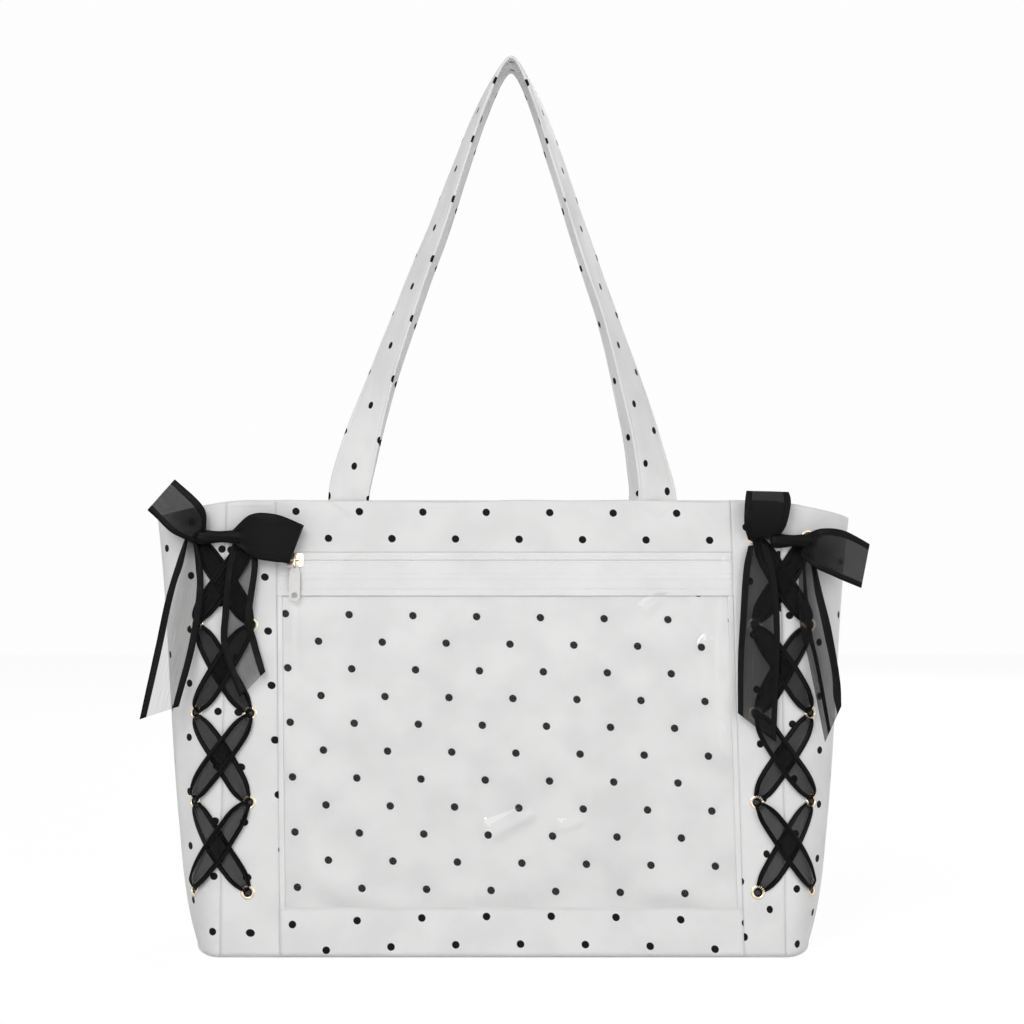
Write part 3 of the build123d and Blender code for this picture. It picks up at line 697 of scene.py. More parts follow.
def make_sides():
    for side, sign in SIDES:
        for name, node, a0, a1, cols, relief, dots in SIDE_CLOTHS:
            grid, uv = side_grid(a0, a1, cols, 110, relief)
            start, lean = dots[side]
            flat = lattice(uv[..., 0], uv[..., 1], start, 0.5 * sign, lean)
            to_seam = np.clip((FOLD - grid[..., 0]) / (FOLD - SEAM), 0, 1)
            grid[..., 0] += sign * SKEW * (1 - grid[..., 2] / BAG_HEIGHT) * to_seam
            piece = cloth_piece(name + side, on_side(grid, sign), flat, CLOTH, DOTTED, "dotted_fabric",
                                flip=sign < 0)
            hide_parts(node + side)


BACK_FOLDS = [((-120, 250), (-20, 160), 0.7, 14), ((30, 120), (130, 60), 0.6, 16)]


def make_back():
    x, v = np.meshgrid(np.linspace(FOLD, -FOLD, 130), np.linspace(WALL_TOP, WALL_FOOT, 100))
    rise = 0.25 + 0.5 * np.sin(x / 48 + v / 70) * np.sin(v / WALL_TOP * math.pi)
    grid = front(x, v, rise + folds(x, v, BACK_FOLDS)) * TO_BACK
    flat = lattice(x, v, (12, 20), 0.6, 1.0)
    piece = cloth_piece("back_cloth", grid, flat, CLOTH, DOTTED, "dotted_fabric")
    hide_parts("back_panel")


make_front()
make_sides()
make_back()


# ---- ribbons
def curve(points, count):
    """A smooth curve through a few points, sampled evenly by parameter (Catmull-Rom)."""
    p = np.asarray(points, float)
    if len(p) == 2:
        return p[0] + (p[1] - p[0]) * np.linspace(0, 1, count)[:, None]
    p = np.concatenate([[2 * p[0] - p[1]], p, [2 * p[-1] - p[-2]]])
    spans = len(p) - 3
    out = []
    for t in np.linspace(0, spans, count):
        i = min(int(t), spans - 1)
        u = t - i
        a, b, c, d = p[i], p[i + 1], p[i + 2], p[i + 3]
        out.append(0.5 * (2 * b + (c - a) * u + (2 * a - 5 * b + 4 * c - d) * u ** 2
                          + (3 * b - a - 3 * c + d) * u ** 3))
    return np.array(out)


def ribbon_grid(left, right, rows, cols, pleats, deepest, phase, dense=0.0, satin=1.0):
    """Place in its own plane, stand-off, UV and gather of a ribbon between two edges.

    An edge is a list of (across, up, out). Where the ribbon is gathered it stands in pleats.
    """
    l, r = curve(left, rows), curve(right, rows)
    s = np.linspace(0, 1, cols)[None, :, None]
    grid = l[:, None] * (1 - s) + r[:, None] * s
    width = np.linalg.norm(l - r, axis=1)
    tight = np.clip(1 - width / RIBBON, 0, 1)
    depth = np.minimum(tight * 2.4, 1.0)[:, None] * deepest
    wave = np.sin(2 * math.pi * pleats * s[..., 0] + phase) * np.sin(math.pi * s[..., 0]) ** 0.3
    grid[..., 2] += depth * wave
    run = run_length((l + r) / 2)
    rim = np.minimum((SATIN + 0.3) * satin, 0.3 * width)[:, None]
    knees = (SATIN + 0.3) / RIBBON
    share = s[0, :, 0][None] * width[:, None]
    inner = knees + (share - rim) / (width[:, None] - 2 * rim) * (1 - 2 * knees)
    far_rim = 1 - (width[:, None] - share) / rim * knees
    over = np.where(share < rim, share / rim * knees,
                    np.where(share > width[:, None] - rim, far_rim, inner))
    uv = np.stack(np.broadcast_arrays(run[:, None] / RIBBON, over), -1)
    gather = np.clip(np.maximum(dense, tight * 1.6 - 0.55), 0, 1)[:, None]
    return grid, uv, np.broadcast_to(gather, grid.shape[:2]), run[-1]


def ribbon_piece(name, strips):
    """One ribbon object from several (grid, uv, gather) strips."""
    verts, faces, uvs, gathers = joined([
        (*shell(grid, RIBBON_THICK), doubled(uv.reshape(-1, 2)), doubled(gather.ravel()))
        for grid, uv, gather in strips])
    return new_object(name, verts, faces, ORGANZA, "organza", "bag", uvs, {"gather": gathers})


LACE_WIDTHS = ((0.0, 2.0), (0.06, 4.0), (0.14, 6.0), (0.26, 7.0), (0.5, 7.2), (0.74, 7.0), (0.86, 6.0),
               (0.94, 4.0), (1.0, 2.0))  # share of the way, half the width
LACE_DENSE = (0.40, 0.44, 0.52, 0.80)  # row by row upwards: the top cross is gathered
LACE_PLEATS, LACE_PLEAT_DEPTH = 5.5, 0.68
LACE_LIFTS = ((True, 1.85), (False, 3.3))  # whether it climbs to the gusset, and how far it stands out


def lace_strip(z0, z1, to_gusset, lift, seed):
    """One diagonal of the lacing round the right corner."""
    a0, a1 = EYELET_FRONT, gusset_arc(z1)
    if not to_gusset:
        a0, a1 = gusset_arc(z0), EYELET_FRONT
    start, end = np.array([a0, z0]), np.array([a1, z1])
    along = (end - start) / np.linalg.norm(end - start)
    side = np.array([-along[1], along[0]])
    left, right = [], []
    for t, half in LACE_WIDTHS:
        middle = start + (end - start) * t
        out = lift if 0.04 < t < 0.96 else -0.6
        wander = 0.7 * math.sin(seed * 2.1 + t * 5)
        left.append((*(middle + side * (half + wander)), out))
        right.append((*(middle - side * (half - wander)), out))
    dense = LACE_DENSE[round((z0 - EYELET_Z[0]) / EYELET_PITCH)]
    grid, uv, gather, run = ribbon_grid(left, right, 48, 39, LACE_PLEATS, LACE_PLEAT_DEPTH, seed, dense)
    ground = np.vectorize(corner_relief)(grid[..., 0], grid[..., 1])
    return wrap(grid[..., 0], grid[..., 1], grid[..., 2] + ground), uv, gather, run


def make_lacing():
    for name, sign in SIDES:
        strips, total = [], 0.0
        for row in range(4):
            for to_gusset, lift in LACE_LIFTS:
                seed = row * 1.7 + to_gusset + (0.6 if sign > 0 else 0)
                *strip, run = lace_strip(EYELET_Z[row], EYELET_Z[row + 1], to_gusset, lift, seed)
                strips.append((on_side(strip[0], sign), *strip[1:]))
                total += run
        piece = ribbon_piece("lacing_ribbon_" + name, strips)
        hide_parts("lacing_" + name)


make_lacing()


# ---- bows and tails, in the front's own frame: across, up, out
TAILS = {  # the two edges of each hanging end, from its knot down
    "left_outer": (
        [(-205, 266, 4.5), (-210, 250, 5.5), (-216.3, 228, 6.5), (-222.7, 196, 5.5), (-231.5, 150.5, 8)],
        [(-198, 266, 4.5), (-193.5, 250, 5), (-192.5, 230, 5.2), (-197.5, 195, 5), (-206.8, 158.8, 6)],
    ),
    "left_inner": (
        [(-174, 264, 4.5), (-178, 245, 5), (-180, 220, 5.5), (-180, 195, 5), (-168, 164.5, 6)],
        [(-165, 264, 4.5), (-157.5, 252, 5.5), (-160.8, 217, 6), (-157.3, 199.5, 5), (-151.7, 181, 7)],
    ),
    "right_inner": (
        [(158, 262, 4.5), (154.5, 246, 5.5), (152, 215, 6), (150.4, 187, 5.5), (149.8, 154.5, 7)],
        [(170, 264, 4.5), (176, 240, 5), (177.5, 205, 5.5), (176, 170, 5), (174, 136, 6)],
    ),
    "right_outer": (
        [(192, 263, 4.5), (190, 240, 5), (190.5, 210, 5.2), (195.8, 187, 5), (205.2, 136, 6)],
        [(199, 263, 4.5), (204, 236, 6), (210.6, 207, 6.5), (215.5, 176, 6), (216, 159, 7)],
    ),
}
LOOPS = {  # out along the back layer, round the fold, home in front
    "left_outer": (
        [(-199, 263, 3.4), (-213, 270.5, 4.5), (-226.5, 282.5, 6), (-228.2, 284, 8.5), (-226.5, 283.5, 11),
         (-213, 270, 12), (-199, 264, 7)],
        [(-192, 270, 3.4), (-193, 285, 4.5), (-209, 302, 6), (-211, 303.5, 8.5), (-209, 302.5, 11),
         (-192, 286, 12), (-191, 271, 7)],
    ),
    "left_inner": (
        [(-175, 264, 3.2), (-156, 253.5, 5), (-139.5, 250.5, 7), (-137, 250, 9.5), (-138.5, 250.3, 12),
         (-148, 251, 13), (-160, 254, 11), (-175, 265, 6.5)],
        [(-175, 270, 3.2), (-160, 280, 5), (-131, 275.5, 7), (-128.6, 274.8, 9.5), (-131, 276, 12),
         (-146, 281.5, 13), (-162, 281.5, 11), (-175, 271, 6.5)],
    ),
    "right_upper": (
        [(158, 266, 3.2), (155.5, 276, 4.5), (156, 290, 6), (156.8, 297, 8.5), (156.5, 291, 11),
         (155.2, 277, 11), (157.5, 267, 6.5)],
        [(177, 266, 3.2), (182, 276, 4.5), (184.6, 289, 6), (183.8, 296.2, 8.5), (185, 289, 11),
         (182, 275, 11), (177, 267, 6.5)],
    ),
    "right_outer": (
        [(192, 255, 3.2), (201, 247.5, 5), (213, 241.6, 6.5), (229.6, 234.2, 9), (213, 241.0, 11.5),
         (200, 247, 11.5), (191, 256, 6.5)],
        [(196, 269, 3.2), (206, 272, 5), (220, 270.5, 6.5), (235.5, 262.4, 9), (219, 271, 11.5),
         (205, 272.5, 11.5), (196, 270, 6.5)],
    ),
}
KNOTS = {  # middle, length and height
    "left": ((-182, 267.5), 33, 9.0),
    "right": ((187, 265), 31, 9.0),
}


def flutter(grid, seed, deep):
    """Soft waves and crumples of hanging organza."""
    wave = smooth_noise(grid * np.array([1.0, 0.6, 0.0]), 16.0, seed) * deep
    fine = smooth_noise(grid * np.array([1.0, 1.0, 0.0]), 5.0, seed + 3) * deep * 0.25
    grid[..., 2] = np.maximum(grid[..., 2] + wave + fine, 3.2)
    return grid


DENSE = {  # how much closer than a single flat layer the weave shows
    "left_outer": 0.05, "left_inner": 0.22, "right_inner": 0.48, "right_outer": 0.42,
    "left_outer_loop": 0.45, "left_inner_loop": 0.80, "right_upper_loop": 0.62, "right_outer_loop": 0.50,
}
FOLDED_BACK = {"right_outer": 0.36}  # share of the shown width that is turned under


TAIL_SATIN, LOOP_SATIN = 1.5, 1.25  # how much wider the satin edges lie than on the lacing


def on_front(grid):
    return front(*np.moveaxis(grid, -1, 0))


def folded_strips(strip, left, right, part, seed):
    """A tail's shown strip, and the edge of it that is turned under."""
    grid, uv, gather = strip
    left = np.array(left)
    inner = left + (np.array(right) - left) * part
    under = np.array([0, 0, 0.9])
    turned, flat, _, _ = ribbon_grid(left - under, inner - under, 70, 9, 1.0, 0.2, seed)
    turned[..., 2] = np.minimum(turned[..., 2], grid[:, :9, 2] - 0.8)
    flat = flat * np.array([1.0, part])
    flat[..., 1] = part - flat[..., 1]
    uv[..., 1] = part + uv[..., 1] * (1 - part)
    return [(grid, uv, gather), (turned, flat, np.zeros(turned.shape[:2]))]


def make_bows():
    for seed, (place, (left, right)) in enumerate(TAILS.items()):
        grid, *rest, run = ribbon_grid(left, right, 70, 17, 2.5, 1.0, seed, DENSE[place], TAIL_SATIN)
        strips = [(flutter(grid, seed, 1.1), *rest)]
        if place in FOLDED_BACK:
            strips = folded_strips(strips[0], left, right, FOLDED_BACK[place], seed)
        piece = ribbon_piece("ribbon_tail_cloth_" + place, [(on_front(g), *rest) for g, *rest in strips])
        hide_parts("ribbon_tail_" + place)
    for seed, (place, (left, right)) in enumerate(LOOPS.items()):
        grid, *rest, run = ribbon_grid(left, right, 80, 17, 2.5, 1.2, seed * 1.3, DENSE[place + "_loop"],
                                       LOOP_SATIN)
        piece = ribbon_piece("bow_loop_cloth_" + place, [(on_front(flutter(grid, seed + 9, 0.8)), *rest)])
        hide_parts("bow_loop_" + place)


def make_knots():
    for side, ((across, up), length, height) in KNOTS.items():
        rows, cols = 30, 28
        u = np.linspace(-1, 1, rows)[:, None]
        turn = np.linspace(0, 2 * math.pi, cols, endpoint=False)[None]
        waist = 1 - 0.22 * bell(u / 0.45) + 0.10 * u ** 2
        pleat = 1 + 0.07 * np.sin(6 * turn + 2.5 * u) + 0.04 * np.sin(11 * turn - 3 * u)
        close = np.sqrt(np.clip(1 - np.abs(u) ** 9, 0, 1))
        x = across + u * length / 2
        v = up + height / 2 * waist * pleat * close * np.sin(turn)
        w = 6.0 + 2.9 * waist * pleat * close * np.cos(turn)
        uv = np.stack(np.broadcast_arrays(u * 2, 0 * turn), -1)
        piece = new_object("bow_" + side, front(x, v, w).reshape(-1, 3), tube(rows, cols), ORGANZA,
                           "organza", "bag", uv.reshape(-1, 2), {"gather": np.ones(rows * cols)})
        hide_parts("bow_knot_" + side)


make_knots()
make_bows()


# ---- straps
STRAP_WIDTH = 26.0
BACK_SHIFT = 3.0  # the back strap hangs this far further left
STRAP_THICK = 1.8
STRAP_PRINT_SHARE = 13.0 / 26.5  # of two dot rows, over half the strap's width
STRAP_PRINT_START = (0.80, 0.0)  # along and across, in lattice cells
STRAP_PRINT_DRIFT = (0.21, -0.26)  # added towards the right root
HINGE_Z = 297.0
APEX_Z = 577.6
STRAP_LEAN = 5.2
ROOT_Y = 25.0
APEX_Y = 13.7
STRAP_RUN = [  # height, distance from the middle, twist on left and right
    (284.0, 100.2, 0, 4), (HINGE_Z, 99.6, 2, 20), (312.0, 96.6, 10, 32), (333.7, 91.4, 24, 44),
    (354.0, 85.6, 38, 51), (374.7, 79.3, 49, 57), (400.0, 70.8, 55, 64), (421.6, 63.4, 58, 67),
    (462.0, 48.8, 64, 69), (506.0, 33.8, 70, 72), (536.0, 23.2, 75, 75), (556.0, 15.2, 79, 79),
    (568.5, 9.2, 83, 83), (575.4, 4.2, 87, 87),
]
STRAP_PROFILE = [  # share of the half width, share of the half thickness
    (-1.0, 0.0), (-0.985, 0.55), (-0.94, 0.95), (-0.87, 0.85), (-0.84, 0.62), (-0.80, 0.85), (-0.66, 1.12),
    (-0.4, 1.2), (0.0, 1.12), (0.4, 1.2), (0.66, 1.12), (0.80, 0.85), (0.84, 0.62), (0.87, 0.85),
    (0.94, 0.95), (0.985, 0.55), (1.0, 0.0),
]


def strap_line():
    """The strap's run over the top, densely: place, way along, width direction and face direction."""
    run = [(-x, z, left) for z, x, left, right in STRAP_RUN] + [(0, APEX_Z, 90)]
    run += [(x, z, right) for z, x, left, right in reversed(STRAP_RUN)]
    line = curve(run, 330)
    rise = np.clip((line[:, 1] - HINGE_Z) / (APEX_Z - HINGE_Z), -0.06, 1)
    depth = -ROOT_Y + (ROOT_Y - APEX_Y) * rise
    place = np.stack([line[:, 0] + STRAP_LEAN * rise, depth, line[:, 1]], -1)
    along = np.gradient(place, axis=0)
    along[:, 1] = 0
    along /= np.linalg.norm(along, axis=1, keepdims=True)
    back = np.array([0.0, 1.0, 0.0])
    across = np.cross(back, along)
    twist = np.radians(line[:, 2])[:, None]
    width = across * np.cos(twist) - back * np.sin(twist)
    face = np.cross(width, along)
    return place, width, face, run_length(place)


def make_straps():
    place, width, face, arc = strap_line()
    lower = [(u, -h) for u, h in reversed(STRAP_PROFILE[1:-1])]
    section = np.array(STRAP_PROFILE + lower)
    count = len(STRAP_PROFILE)
    girth_way = np.concatenate([section[:count, 0], 2 - section[count:, 0]])
    for side, sign in (("front", 1), ("back", -1)):
        rows, cols = len(place), len(section)
        share = arc / arc[-1]
        soft = 1 + 0.10 * np.sin(arc / 23.0 + sign) + 0.07 * np.sin(arc / 9.0 + 2 * sign)
        crumple = smooth_noise(np.stack([arc, 0 * arc, 0 * arc + sign], -1), 30.0, 5) * 1.2
        u = section[None, :, 0] * STRAP_WIDTH / 2 * (1 + 0.02 * np.sin(arc / 14.0))[:, None]
        h = section[None, :, 1] * STRAP_THICK / 2 * soft[:, None]
        h = h + (crumple * np.sin(math.pi * share))[:, None] * (section[None, :, 0] ** 2 - 0.3)
        grid = place[:, None] + width[:, None] * u[..., None] + face[:, None] * h[..., None]
        round_way = girth_way[None] * STRAP_PRINT_SHARE + 0.5
        uv = np.stack(np.broadcast_arrays(arc[:, None] / DOT_PITCH, round_way), -1)
        drift = (np.clip(share - 0.5, 0, 0.5) * 2) ** 1.5
        uv = uv + np.array(STRAP_PRINT_START) + drift[:, None, None] * np.array(STRAP_PRINT_DRIFT)
        if sign < 0:
            grid = grid * TO_BACK
            low = np.clip((430 - place[:, 2]) / 120, 0, 1)
            grid[..., 0] -= (BACK_SHIFT * low)[:, None]
        faces = tube(rows, cols, 0, sign < 0, sign > 0)
        piece = new_object("strap_cloth_" + side, grid.reshape(-1, 3), faces, STRAP_CLOTH, "strap_fabric",
                           None, uv.reshape(-1, 2))
        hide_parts("strap_" + side, "strap_tails_" + side)
        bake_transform(piece)


make_straps()


# ---- trim: eyelets, bindings, zip, stitching
EYELET_PROFILE = [  # radius and height of the turned ring, from its bore out
    (2.62, -2.1), (2.60, -0.6), (2.66, 0.35), (2.95, 0.78), (3.5, 0.98), (4.1, 0.92), (4.62, 0.62),
    (4.85, 0.25), (4.8, 0.0), (3.4, -0.1), (3.15, -0.5), (3.1, -1.7), (4.2, -1.75), (4.15, -2.15),
]


EYELET_LIFT = 0.55
EYELET_CUT = 3.3  # radius of the hole in the cloth


def wrap_frame(a, z):
    """The place, the way round, the way up and the way out at a point of the right side."""
    here = np.array(wrap_one(a, z, 0.0))
    out = unit(np.array(wrap_one(a, z, 1.0)) - here)
    way = np.array(wrap_one(a + 0.4, z, 0.0)) - here
    way = unit(way - out * (way @ out))
    return here, way, np.cross(out, way), out


def ring(seat, sides, radius, height, sign):
    """A ring of points round an eyelet's axis."""
    here, way, up, out = seat
    return [on_side(here + (way * math.cos(k) + up * math.sin(k)) * radius + out * height, sign)
            for k in np.linspace(0, 2 * math.pi, sides, endpoint=False)]


def make_eyelets():
    sides, count = 36, len(EYELET_PROFILE)
    for name, sign in SIDES:
        verts, faces = [], []
        for a, z in EYELETS:
            seat, base = wrap_frame(a, z), len(verts)
            for radius, height in EYELET_PROFILE:
                verts += ring(seat, sides, radius, height + EYELET_LIFT, sign)
            faces += quads(count, sides, base, sign > 0, True)
            for k in range(sides):
                j, last = (k + 1) % sides, base + (count - 1) * sides
                quad = (last + k, last + j, base + j, base + k)
                faces.append(quad[::-1] if sign > 0 else quad)
        piece = new_object("eyelet_rings_" + name, verts, faces, GOLD, "pale_gold")
        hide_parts("eyelets_" + name)


def punch(piece, places, sign):
    """Cuts the eyelets' round holes out of a cloth."""
    verts, faces = [], []
    sides = 20
    for a, z in places:
        faces += tube(2, sides, len(verts), sign < 0, sign < 0)
        for height in (-6.0, 6.0):
            verts += ring(wrap_frame(a, z), sides, EYELET_CUT, height, sign)
    tool = bare_object("punch", verts, faces)
    cut = piece.modifiers.new("punch", "BOOLEAN")
    cut.operation = "DIFFERENCE"
    cut.object = tool
    cut.solver = "EXACT"
    bpy.context.view_layer.update()
    depsgraph = bpy.context.evaluated_depsgraph_get()
    made = bpy.data.meshes.new_from_object(piece.evaluated_get(depsgraph))
    piece.modifiers.clear()
    piece.data = made
    bpy.data.objects.remove(tool)


def bar(x0, x1, v0, v1, rise, across):
    """Vertices, faces and UVs of a raised strip of the front, rounded over its width."""
    xs = np.linspace(x0, x1, max(9, int((x1 - x0) / 2.0)))
    vs = np.linspace(v1, v0, max(9, int((v1 - v0) / 2.0)))
    x, v = np.meshgrid(xs, vs)
    share = (x - x0) / (x1 - x0) if across == "x" else (v - v0) / (v1 - v0)
    w = 0.05 + rise * (1 - np.abs(2 * share - 1) ** 5)
    uvs = doubled(np.stack([x, v], -1).reshape(-1, 2) / DOT_PITCH)
    return (*shell(front(skewed(x, v), v, w), TAPE_THICK), uvs)


BINDINGS = (  # the ends across and up, the rise, and which way it is rounded
    (-146.9, -143.6, 3, 257, 0.3, "x"), (143.6, 146.9, 3, 257, 0.3, "x"), (-144, 144, 29.4, 31.6, 0.2, "v"),
)


def make_bindings():
    verts, faces, uvs = joined([bar(*row) for row in BINDINGS])
    piece = new_object("window_binding_cloth", verts, faces, PLAIN, "plain_fabric", uvs=uvs)
    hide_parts("window_binding")


def step_up(v, height):
    """Nothing below a height, one above it."""
    return 1 / (1 + np.exp(-(v - height) / 0.3))


CHAIN_V = 253.0


def tape_relief(x, v):
    fold = 0.5 * step_up(v, 240.6) - 0.45 * step_up(v, 246.6)
    grooves = 0.3 * bell((v - 250.9) / 0.5) + 0.25 * bell((v - 243.4) / 0.45) + 0.2 * bell((v - 233.2) / 0.5)
    return 0.6 + fold - grooves + 0.10 * np.sin(x / 23.0 + v / 9.0)


def upper_relief(x, v):
    return 0.45 + 0.25 * bell((v - 256.2) / 0.8)


ZIP_TAPES = (("lower", 230.0, 252.9, tape_relief, "zip_tape_lower"),
             ("upper", 253.1, 258.6, upper_relief, "zip_tape_upper"))
COIL_PITCH, COIL_HALF = 1.5, 141.0
COIL_RINGS = ((0.1, 0.28, 0.35), (0.5, 0.5, 0.62), (1.6, 0.46, 0.6), (2.4, 0.3, 0.3))  # way out, half, height


def make_zip():
    for name, v0, v1, relief, node in ZIP_TAPES:
        x, v = np.meshgrid(np.linspace(-SEAM, SEAM, 130), np.linspace(v1, v0, 60))
        grid = front(skewed(x, v), v, relief(x, v))
        uv = np.stack([x, v], -1) / DOT_PITCH
        piece = cloth_piece("zip_tape_cloth_" + name, grid, uv, TAPE_THICK, TAPE, "zip_tape")
        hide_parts(node)
    for name, sign in (("upper", 1), ("lower", -1)):
        verts, faces = [], []
        for index in range(int(2 * COIL_HALF / COIL_PITCH)):
            x = -COIL_HALF + COIL_PITCH * (index + (0.5 if sign > 0 else 1.0))
            faces += tube(4, 4, len(verts), sign > 0)
            for out, thick, high in COIL_RINGS:
                for dx, w in ((-thick, 0.0), (-thick * 0.7, high), (thick * 0.7, high), (thick, 0.0)):
                    verts.append(front(x + dx, CHAIN_V + sign * out, w + 0.25))
        piece = new_object("zip_coil_" + name, verts, faces, NYLON, "zip_plastic")
        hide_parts("zip_teeth_" + name)


SEAM_ROWS = (("zip_top", 259.6, 0.85), ("window_top", 234.6, 1.05), ("base", 7.4, 0.75))


def make_stitching():
    hem_v = WALL_TOP - 3.4
    xs = np.linspace(-176, 176, 300)
    stitches("stitching_hem", front(skewed(xs, hem_v), hem_v + hem_wave(xs), 1.0), 3.2, 2.3, 0.26)
    for side, middle, slant in zip(("left", "right"), STRAP_ROOTS, (-1.0, 0.5)):
        line = [(middle - 11.5, 288.8), (middle + slant, 280.6), (middle + 11.5, 287.8)]
        dense = np.concatenate([curve(line[:2], 12), curve(line[1:], 12)[1:]])
        stitches("stitching_strap_" + side, front(dense[:, 0], dense[:, 1], 0.95), 2.6, 2.0, 0.26)
    band = np.linspace(-145, 145, 200)
    for name, v, w in SEAM_ROWS:
        stitches("stitching_" + name, front(skewed(band, v), v, w), 3.2, 2.3, 0.24)


FACING_SECTION = [  # way in, and way up from the hem
    (4.4, -17.0), (4.4, -12.0), (4.35, -6.0), (4.2, -2.5), (3.7, -0.6), (2.9, 0.35), (1.9, 0.6),
    (0.9, 0.3), (0.35, -0.5), (0.3, -1.6),
]


def make_mouth():
    """The hem's facing: up the inside, over the top edge and down to the outer cloth."""
    level = BAG_HEIGHT - 6
    side = girth(level)
    way = np.concatenate([np.linspace(-FOLD, 0, 90), np.linspace(0, side, 70)[1:],
                          np.linspace(side, side + FOLD, 90)[1:]])
    right = np.empty((len(FACING_SECTION), len(way), 3))
    for c, a in enumerate(way):
        x = wrap_one(a, level, 0)[0]
        drooping = 0 <= a <= side or abs(x) > FOLD - DROOP_START
        top = float(hem_height(x)) if drooping else BAG_HEIGHT
        top += float(hem_wave(x)) if a < 0 else 0.0
        for r, (depth, down) in enumerate(FACING_SECTION):
            right[r, c] = wrap_one(a, top + down, -depth)
            if a < 0:
                right[r, c] = front(skewed(FOLD + a, WALL_TOP), (top + down) / COS, -depth)
    left = on_side(right[:, ::-1][:, 1:-1], -1)
    for c, a in enumerate(way[::-1][1:-1]):
        if a < 0:
            x = -(FOLD + a)
            top = float(hem_height(x)) + float(hem_wave(x))
            for r, (depth, down) in enumerate(FACING_SECTION):
                left[r, c] = front(x, (top + down) / COS, -depth)
    ring_grid = np.concatenate([right, left], axis=1)
    arc = np.concatenate([way, way[-1] + (way[-1] - way[::-1][1:-1])])
    uv = lattice(arc[None, :], np.array(FACING_SECTION)[:, 1:], (5, -4))
    faces = quads(*ring_grid.shape[:2], 0, True, True)
    piece = new_object("hem_facing_cloth", ring_grid.reshape(-1, 3), faces, DOTTED, "dotted_fabric", "bag",
                       uv.reshape(-1, 2))
    thick = piece.modifiers.new("thickness", "SOLIDIFY")
    thick.thickness = 0.6 * MM
    thick.offset = -1.0
    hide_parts("hem_facing")


LINING_FOLDS = [((-90, 240), (-20, 120), 0.5, 12)]


def gusset_slack(a, z):
    return -3.3 - 0.6 * math.sin(a / 9 + z / 60) ** 2


def make_lining():
    """The lining: front, back, gussets and floor, a little slack."""
    x, v = np.meshgrid(np.linspace(-FOLD, FOLD, 100), np.linspace(286, 6, 90))
    slack = 0.4 + 0.5 * np.sin(x / 31 + v / 44) ** 2 + folds(x, v, LINING_FOLDS)
    uv = np.stack([x, v], -1) / DOT_PITCH
    for name, side in (("front", 1), ("back", -1)):
        grid = front(x * side, v, -3.2 - slack) * np.array([1.0, side, 1.0])
        piece = cloth_piece("lining_cloth_" + name, grid, uv, THIN, LINING, "lining")
        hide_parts(name + "_lining")
    for name, sign in SIDES:
        grid, uv = side_grid(0.0, None, 44, 80, gusset_slack)
        grid[..., 2] = np.minimum(grid[..., 2], hem_height(grid[..., 0]) - 3.0)
        piece = cloth_piece("lining_cloth_gusset_" + name, on_side(grid, sign), uv / DOT_PITCH, THIN, LINING,
                            "lining", flip=sign < 0)
        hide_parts("gusset_lining_" + name)
    y, u = np.meshgrid(np.linspace(-0.999, 0.999, 40), np.linspace(-1, 1, 110), indexing="ij")
    depth = half_depth(BASE_LEVEL) - 1.2
    x = u * (FOLD + (reach(BASE_LEVEL) - 1.2) * np.sqrt(1 - y ** 2))
    z = 5.3 + 0.25 * np.sin(x / 30) * np.sin(y * 5)
    piece = cloth_piece("base_lining_cloth", np.stack([x, y * depth, z], -1),
                        np.stack([x, y * depth], -1) / DOT_PITCH, THIN, LINING, "lining", flip=True)
    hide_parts("base_lining")


BASE_SECTION = [  # way out of the walls' foot, and height
    (-1.6, 4.2), (-0.2, 4.0), (0.55, 3.3), (0.75, 2.4), (0.5, 1.5), (0.0, 0.8), (-0.9, 0.3),
    (-2.2, 0.1), (-4.2, 0.0),
]


def make_base():
    """The base's cloth: a piped edge at the walls' foot, turned under to a flat bottom."""
    depth, end = half_depth(BASE_LEVEL), reach(BASE_LEVEL)
    right = [(FOLD + end * math.cos(t), depth * math.sin(t), depth * math.cos(t), end * math.sin(t))
             for t in np.linspace(-math.pi / 2, math.pi / 2, 60)]
    plan = [(x, -depth, 0.0, -1.0) for x in np.linspace(0, FOLD, 60)[:-1]] + right
    plan += [(x, depth, 0.0, 1.0) for x in np.linspace(FOLD, -FOLD, 119)[1:-1]]
    plan += [tuple(-value for value in place) for place in right]
    plan += [(x, -depth, 0.0, -1.0) for x in np.linspace(-FOLD, 0, 60)[1:-1]]
    plan = np.array(plan)
    out = plan[:, 2:] / np.linalg.norm(plan[:, 2:], axis=1, keepdims=True)
    grid = np.empty((len(BASE_SECTION), len(plan), 3))
    for r, (w, z) in enumerate(BASE_SECTION):
        grid[r, :, :2] = plan[:, :2] + out * w
        grid[r, :, 2] = z
    rows, cols = grid.shape[:2]
    faces = quads(rows, cols, 0, True, True) + [tuple(range((rows - 1) * cols, rows * cols))[::-1]]
    arc = run_length(plan[:, :2])
    uv = np.stack(np.broadcast_arrays(arc[None] / DOT_PITCH, grid[..., 2] / DOT_PITCH), -1)
    piece = new_object("base_cloth", grid.reshape(-1, 3), faces, PLAIN, "dotted_fabric", "bag",
                       uv.reshape(-1, 2))
    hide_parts("base_panel")


KEPT_PIECES = {"zip_slider": GOLD, "pull_link": GOLD, "pull_tab": ENAMEL, "zip_stops": NYLON}


def dress(name, material):
    """Gives a CAD piece that stays its material."""
    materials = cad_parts[name].data.materials
    materials.clear()
    materials.append(material)


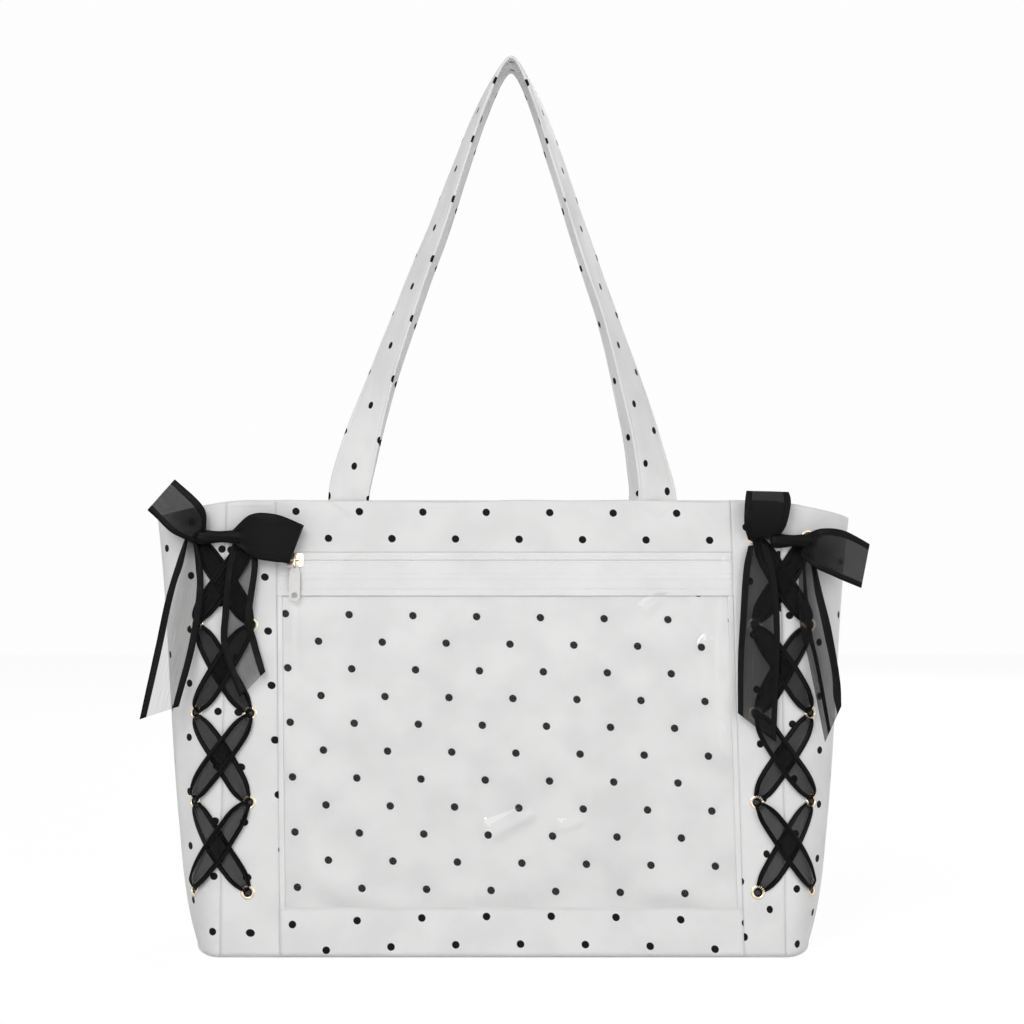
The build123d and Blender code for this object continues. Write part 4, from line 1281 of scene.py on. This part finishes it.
def finish_cad():
    """Materials and softened edges of the CAD pieces that stay."""
    for name, material in KEPT_PIECES.items():
        dress(name, material)
        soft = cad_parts[name].modifiers.new("edges", "BEVEL")
        soft.width = 0.18 * MM
        soft.segments = 2
        soft.limit_method = "ANGLE"
    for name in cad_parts:
        if "interlining" in name or name == "hem_stiffener":
            dress(name, FELT)
        elif name == "base_board":
            dress(name, BOARD)
        elif name.startswith("inner_lacing"):
            dress(name, ORGANZA_DENSE)


make_eyelets()
for side_name, side_sign in SIDES:
    punch(bpy.data.objects["side_strip_" + side_name], EYELETS[:5], side_sign)
    punch(bpy.data.objects["gusset_cloth_" + side_name], EYELETS[5:], side_sign)
make_bindings()
make_zip()
make_stitching()
make_mouth()
make_lining()
make_base()
finish_cad()


# ---- stage, lights, camera
BACKDROP = (0.985, 0.985, 0.985, 1)


def make_world():
    """White light from all round, and the backdrop that the camera, metal and film see."""
    world = bpy.data.worlds.new("studio")
    bpy.context.scene.world = world
    s = Shader("studio", world, "OutputWorld")
    light = s.node("Background", {"Color": (1.0, 1.0, 1.0, 1), "Strength": 0.47})
    backdrop = s.node("Background", {"Color": BACKDROP})
    rays = s.node("LightPath").outputs
    seen = s.math("MAXIMUM", rays["Is Camera Ray"], rays["Is Transmission Ray"])
    seen = s.math("MAXIMUM", seen, rays["Is Glossy Ray"])
    s.surface(s.node("MixShader", {0: seen, 1: light.outputs[0], 2: backdrop.outputs[0]}))


def make_floor():
    """A floor as white as the backdrop, which still takes the bag's shadow."""
    s = Shader("studio_floor")
    white = s.node("Emission", {"Color": BACKDROP, "Strength": 1.062})
    matte = s.node("BsdfDiffuse", {"Color": (0.93, 0.93, 0.93, 1)})
    rays = s.node("LightPath")
    share = s.math("MULTIPLY", rays.outputs["Is Camera Ray"], 0.86)
    s.surface(s.node("MixShader", {0: share, 1: matte.outputs[0], 2: white.outputs[0]}))
    verts = [(-4000, -3000, 0), (4000, -3000, 0), (4000, 3000, 0), (-4000, 3000, 0)]
    floor = new_object("floor", verts, [(0, 1, 2, 3)], s.owner, "dotted_fabric", None)
    del floor["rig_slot"]


def lamp(name, place, target, size, watts):
    data = bpy.data.lights.new(name, "AREA")
    data.shape = "DISK"
    data.size = size
    data.energy = watts
    obj = link(bpy.data.objects.new(name, data))
    obj.location = place
    obj.rotation_euler = (Vector(target) - Vector(place)).to_track_quat("-Z", "Y").to_euler()


def make_camera():
    data = bpy.data.cameras.new("camera")
    data.lens = 80.0
    data.sensor_width = 36.0
    camera = link(bpy.data.objects.new("camera", data))
    camera.location = (0.0058, -1.5, 0.2826)
    camera.rotation_euler = (math.pi / 2, 0, 0)
    bpy.context.scene.camera = camera


make_world()
make_floor()
lamp("key", (-0.7, -1.6, 1.5), (0, 0, 0.2), 1.2, 14.0)
lamp("glint", (-0.35, -1.60, 0.80), (0, 0, 0.15), 0.14, 2.2)
lamp("back", (0.9, 1.9, 1.3), (0, 0, 0.2), 1.6, 14.0)
lamp("fill", (1.3, -1.4, 0.7), (0, 0, 0.2), 1.4, 6.0)
make_camera()
bpy.context.scene.view_settings.view_transform = "Standard"
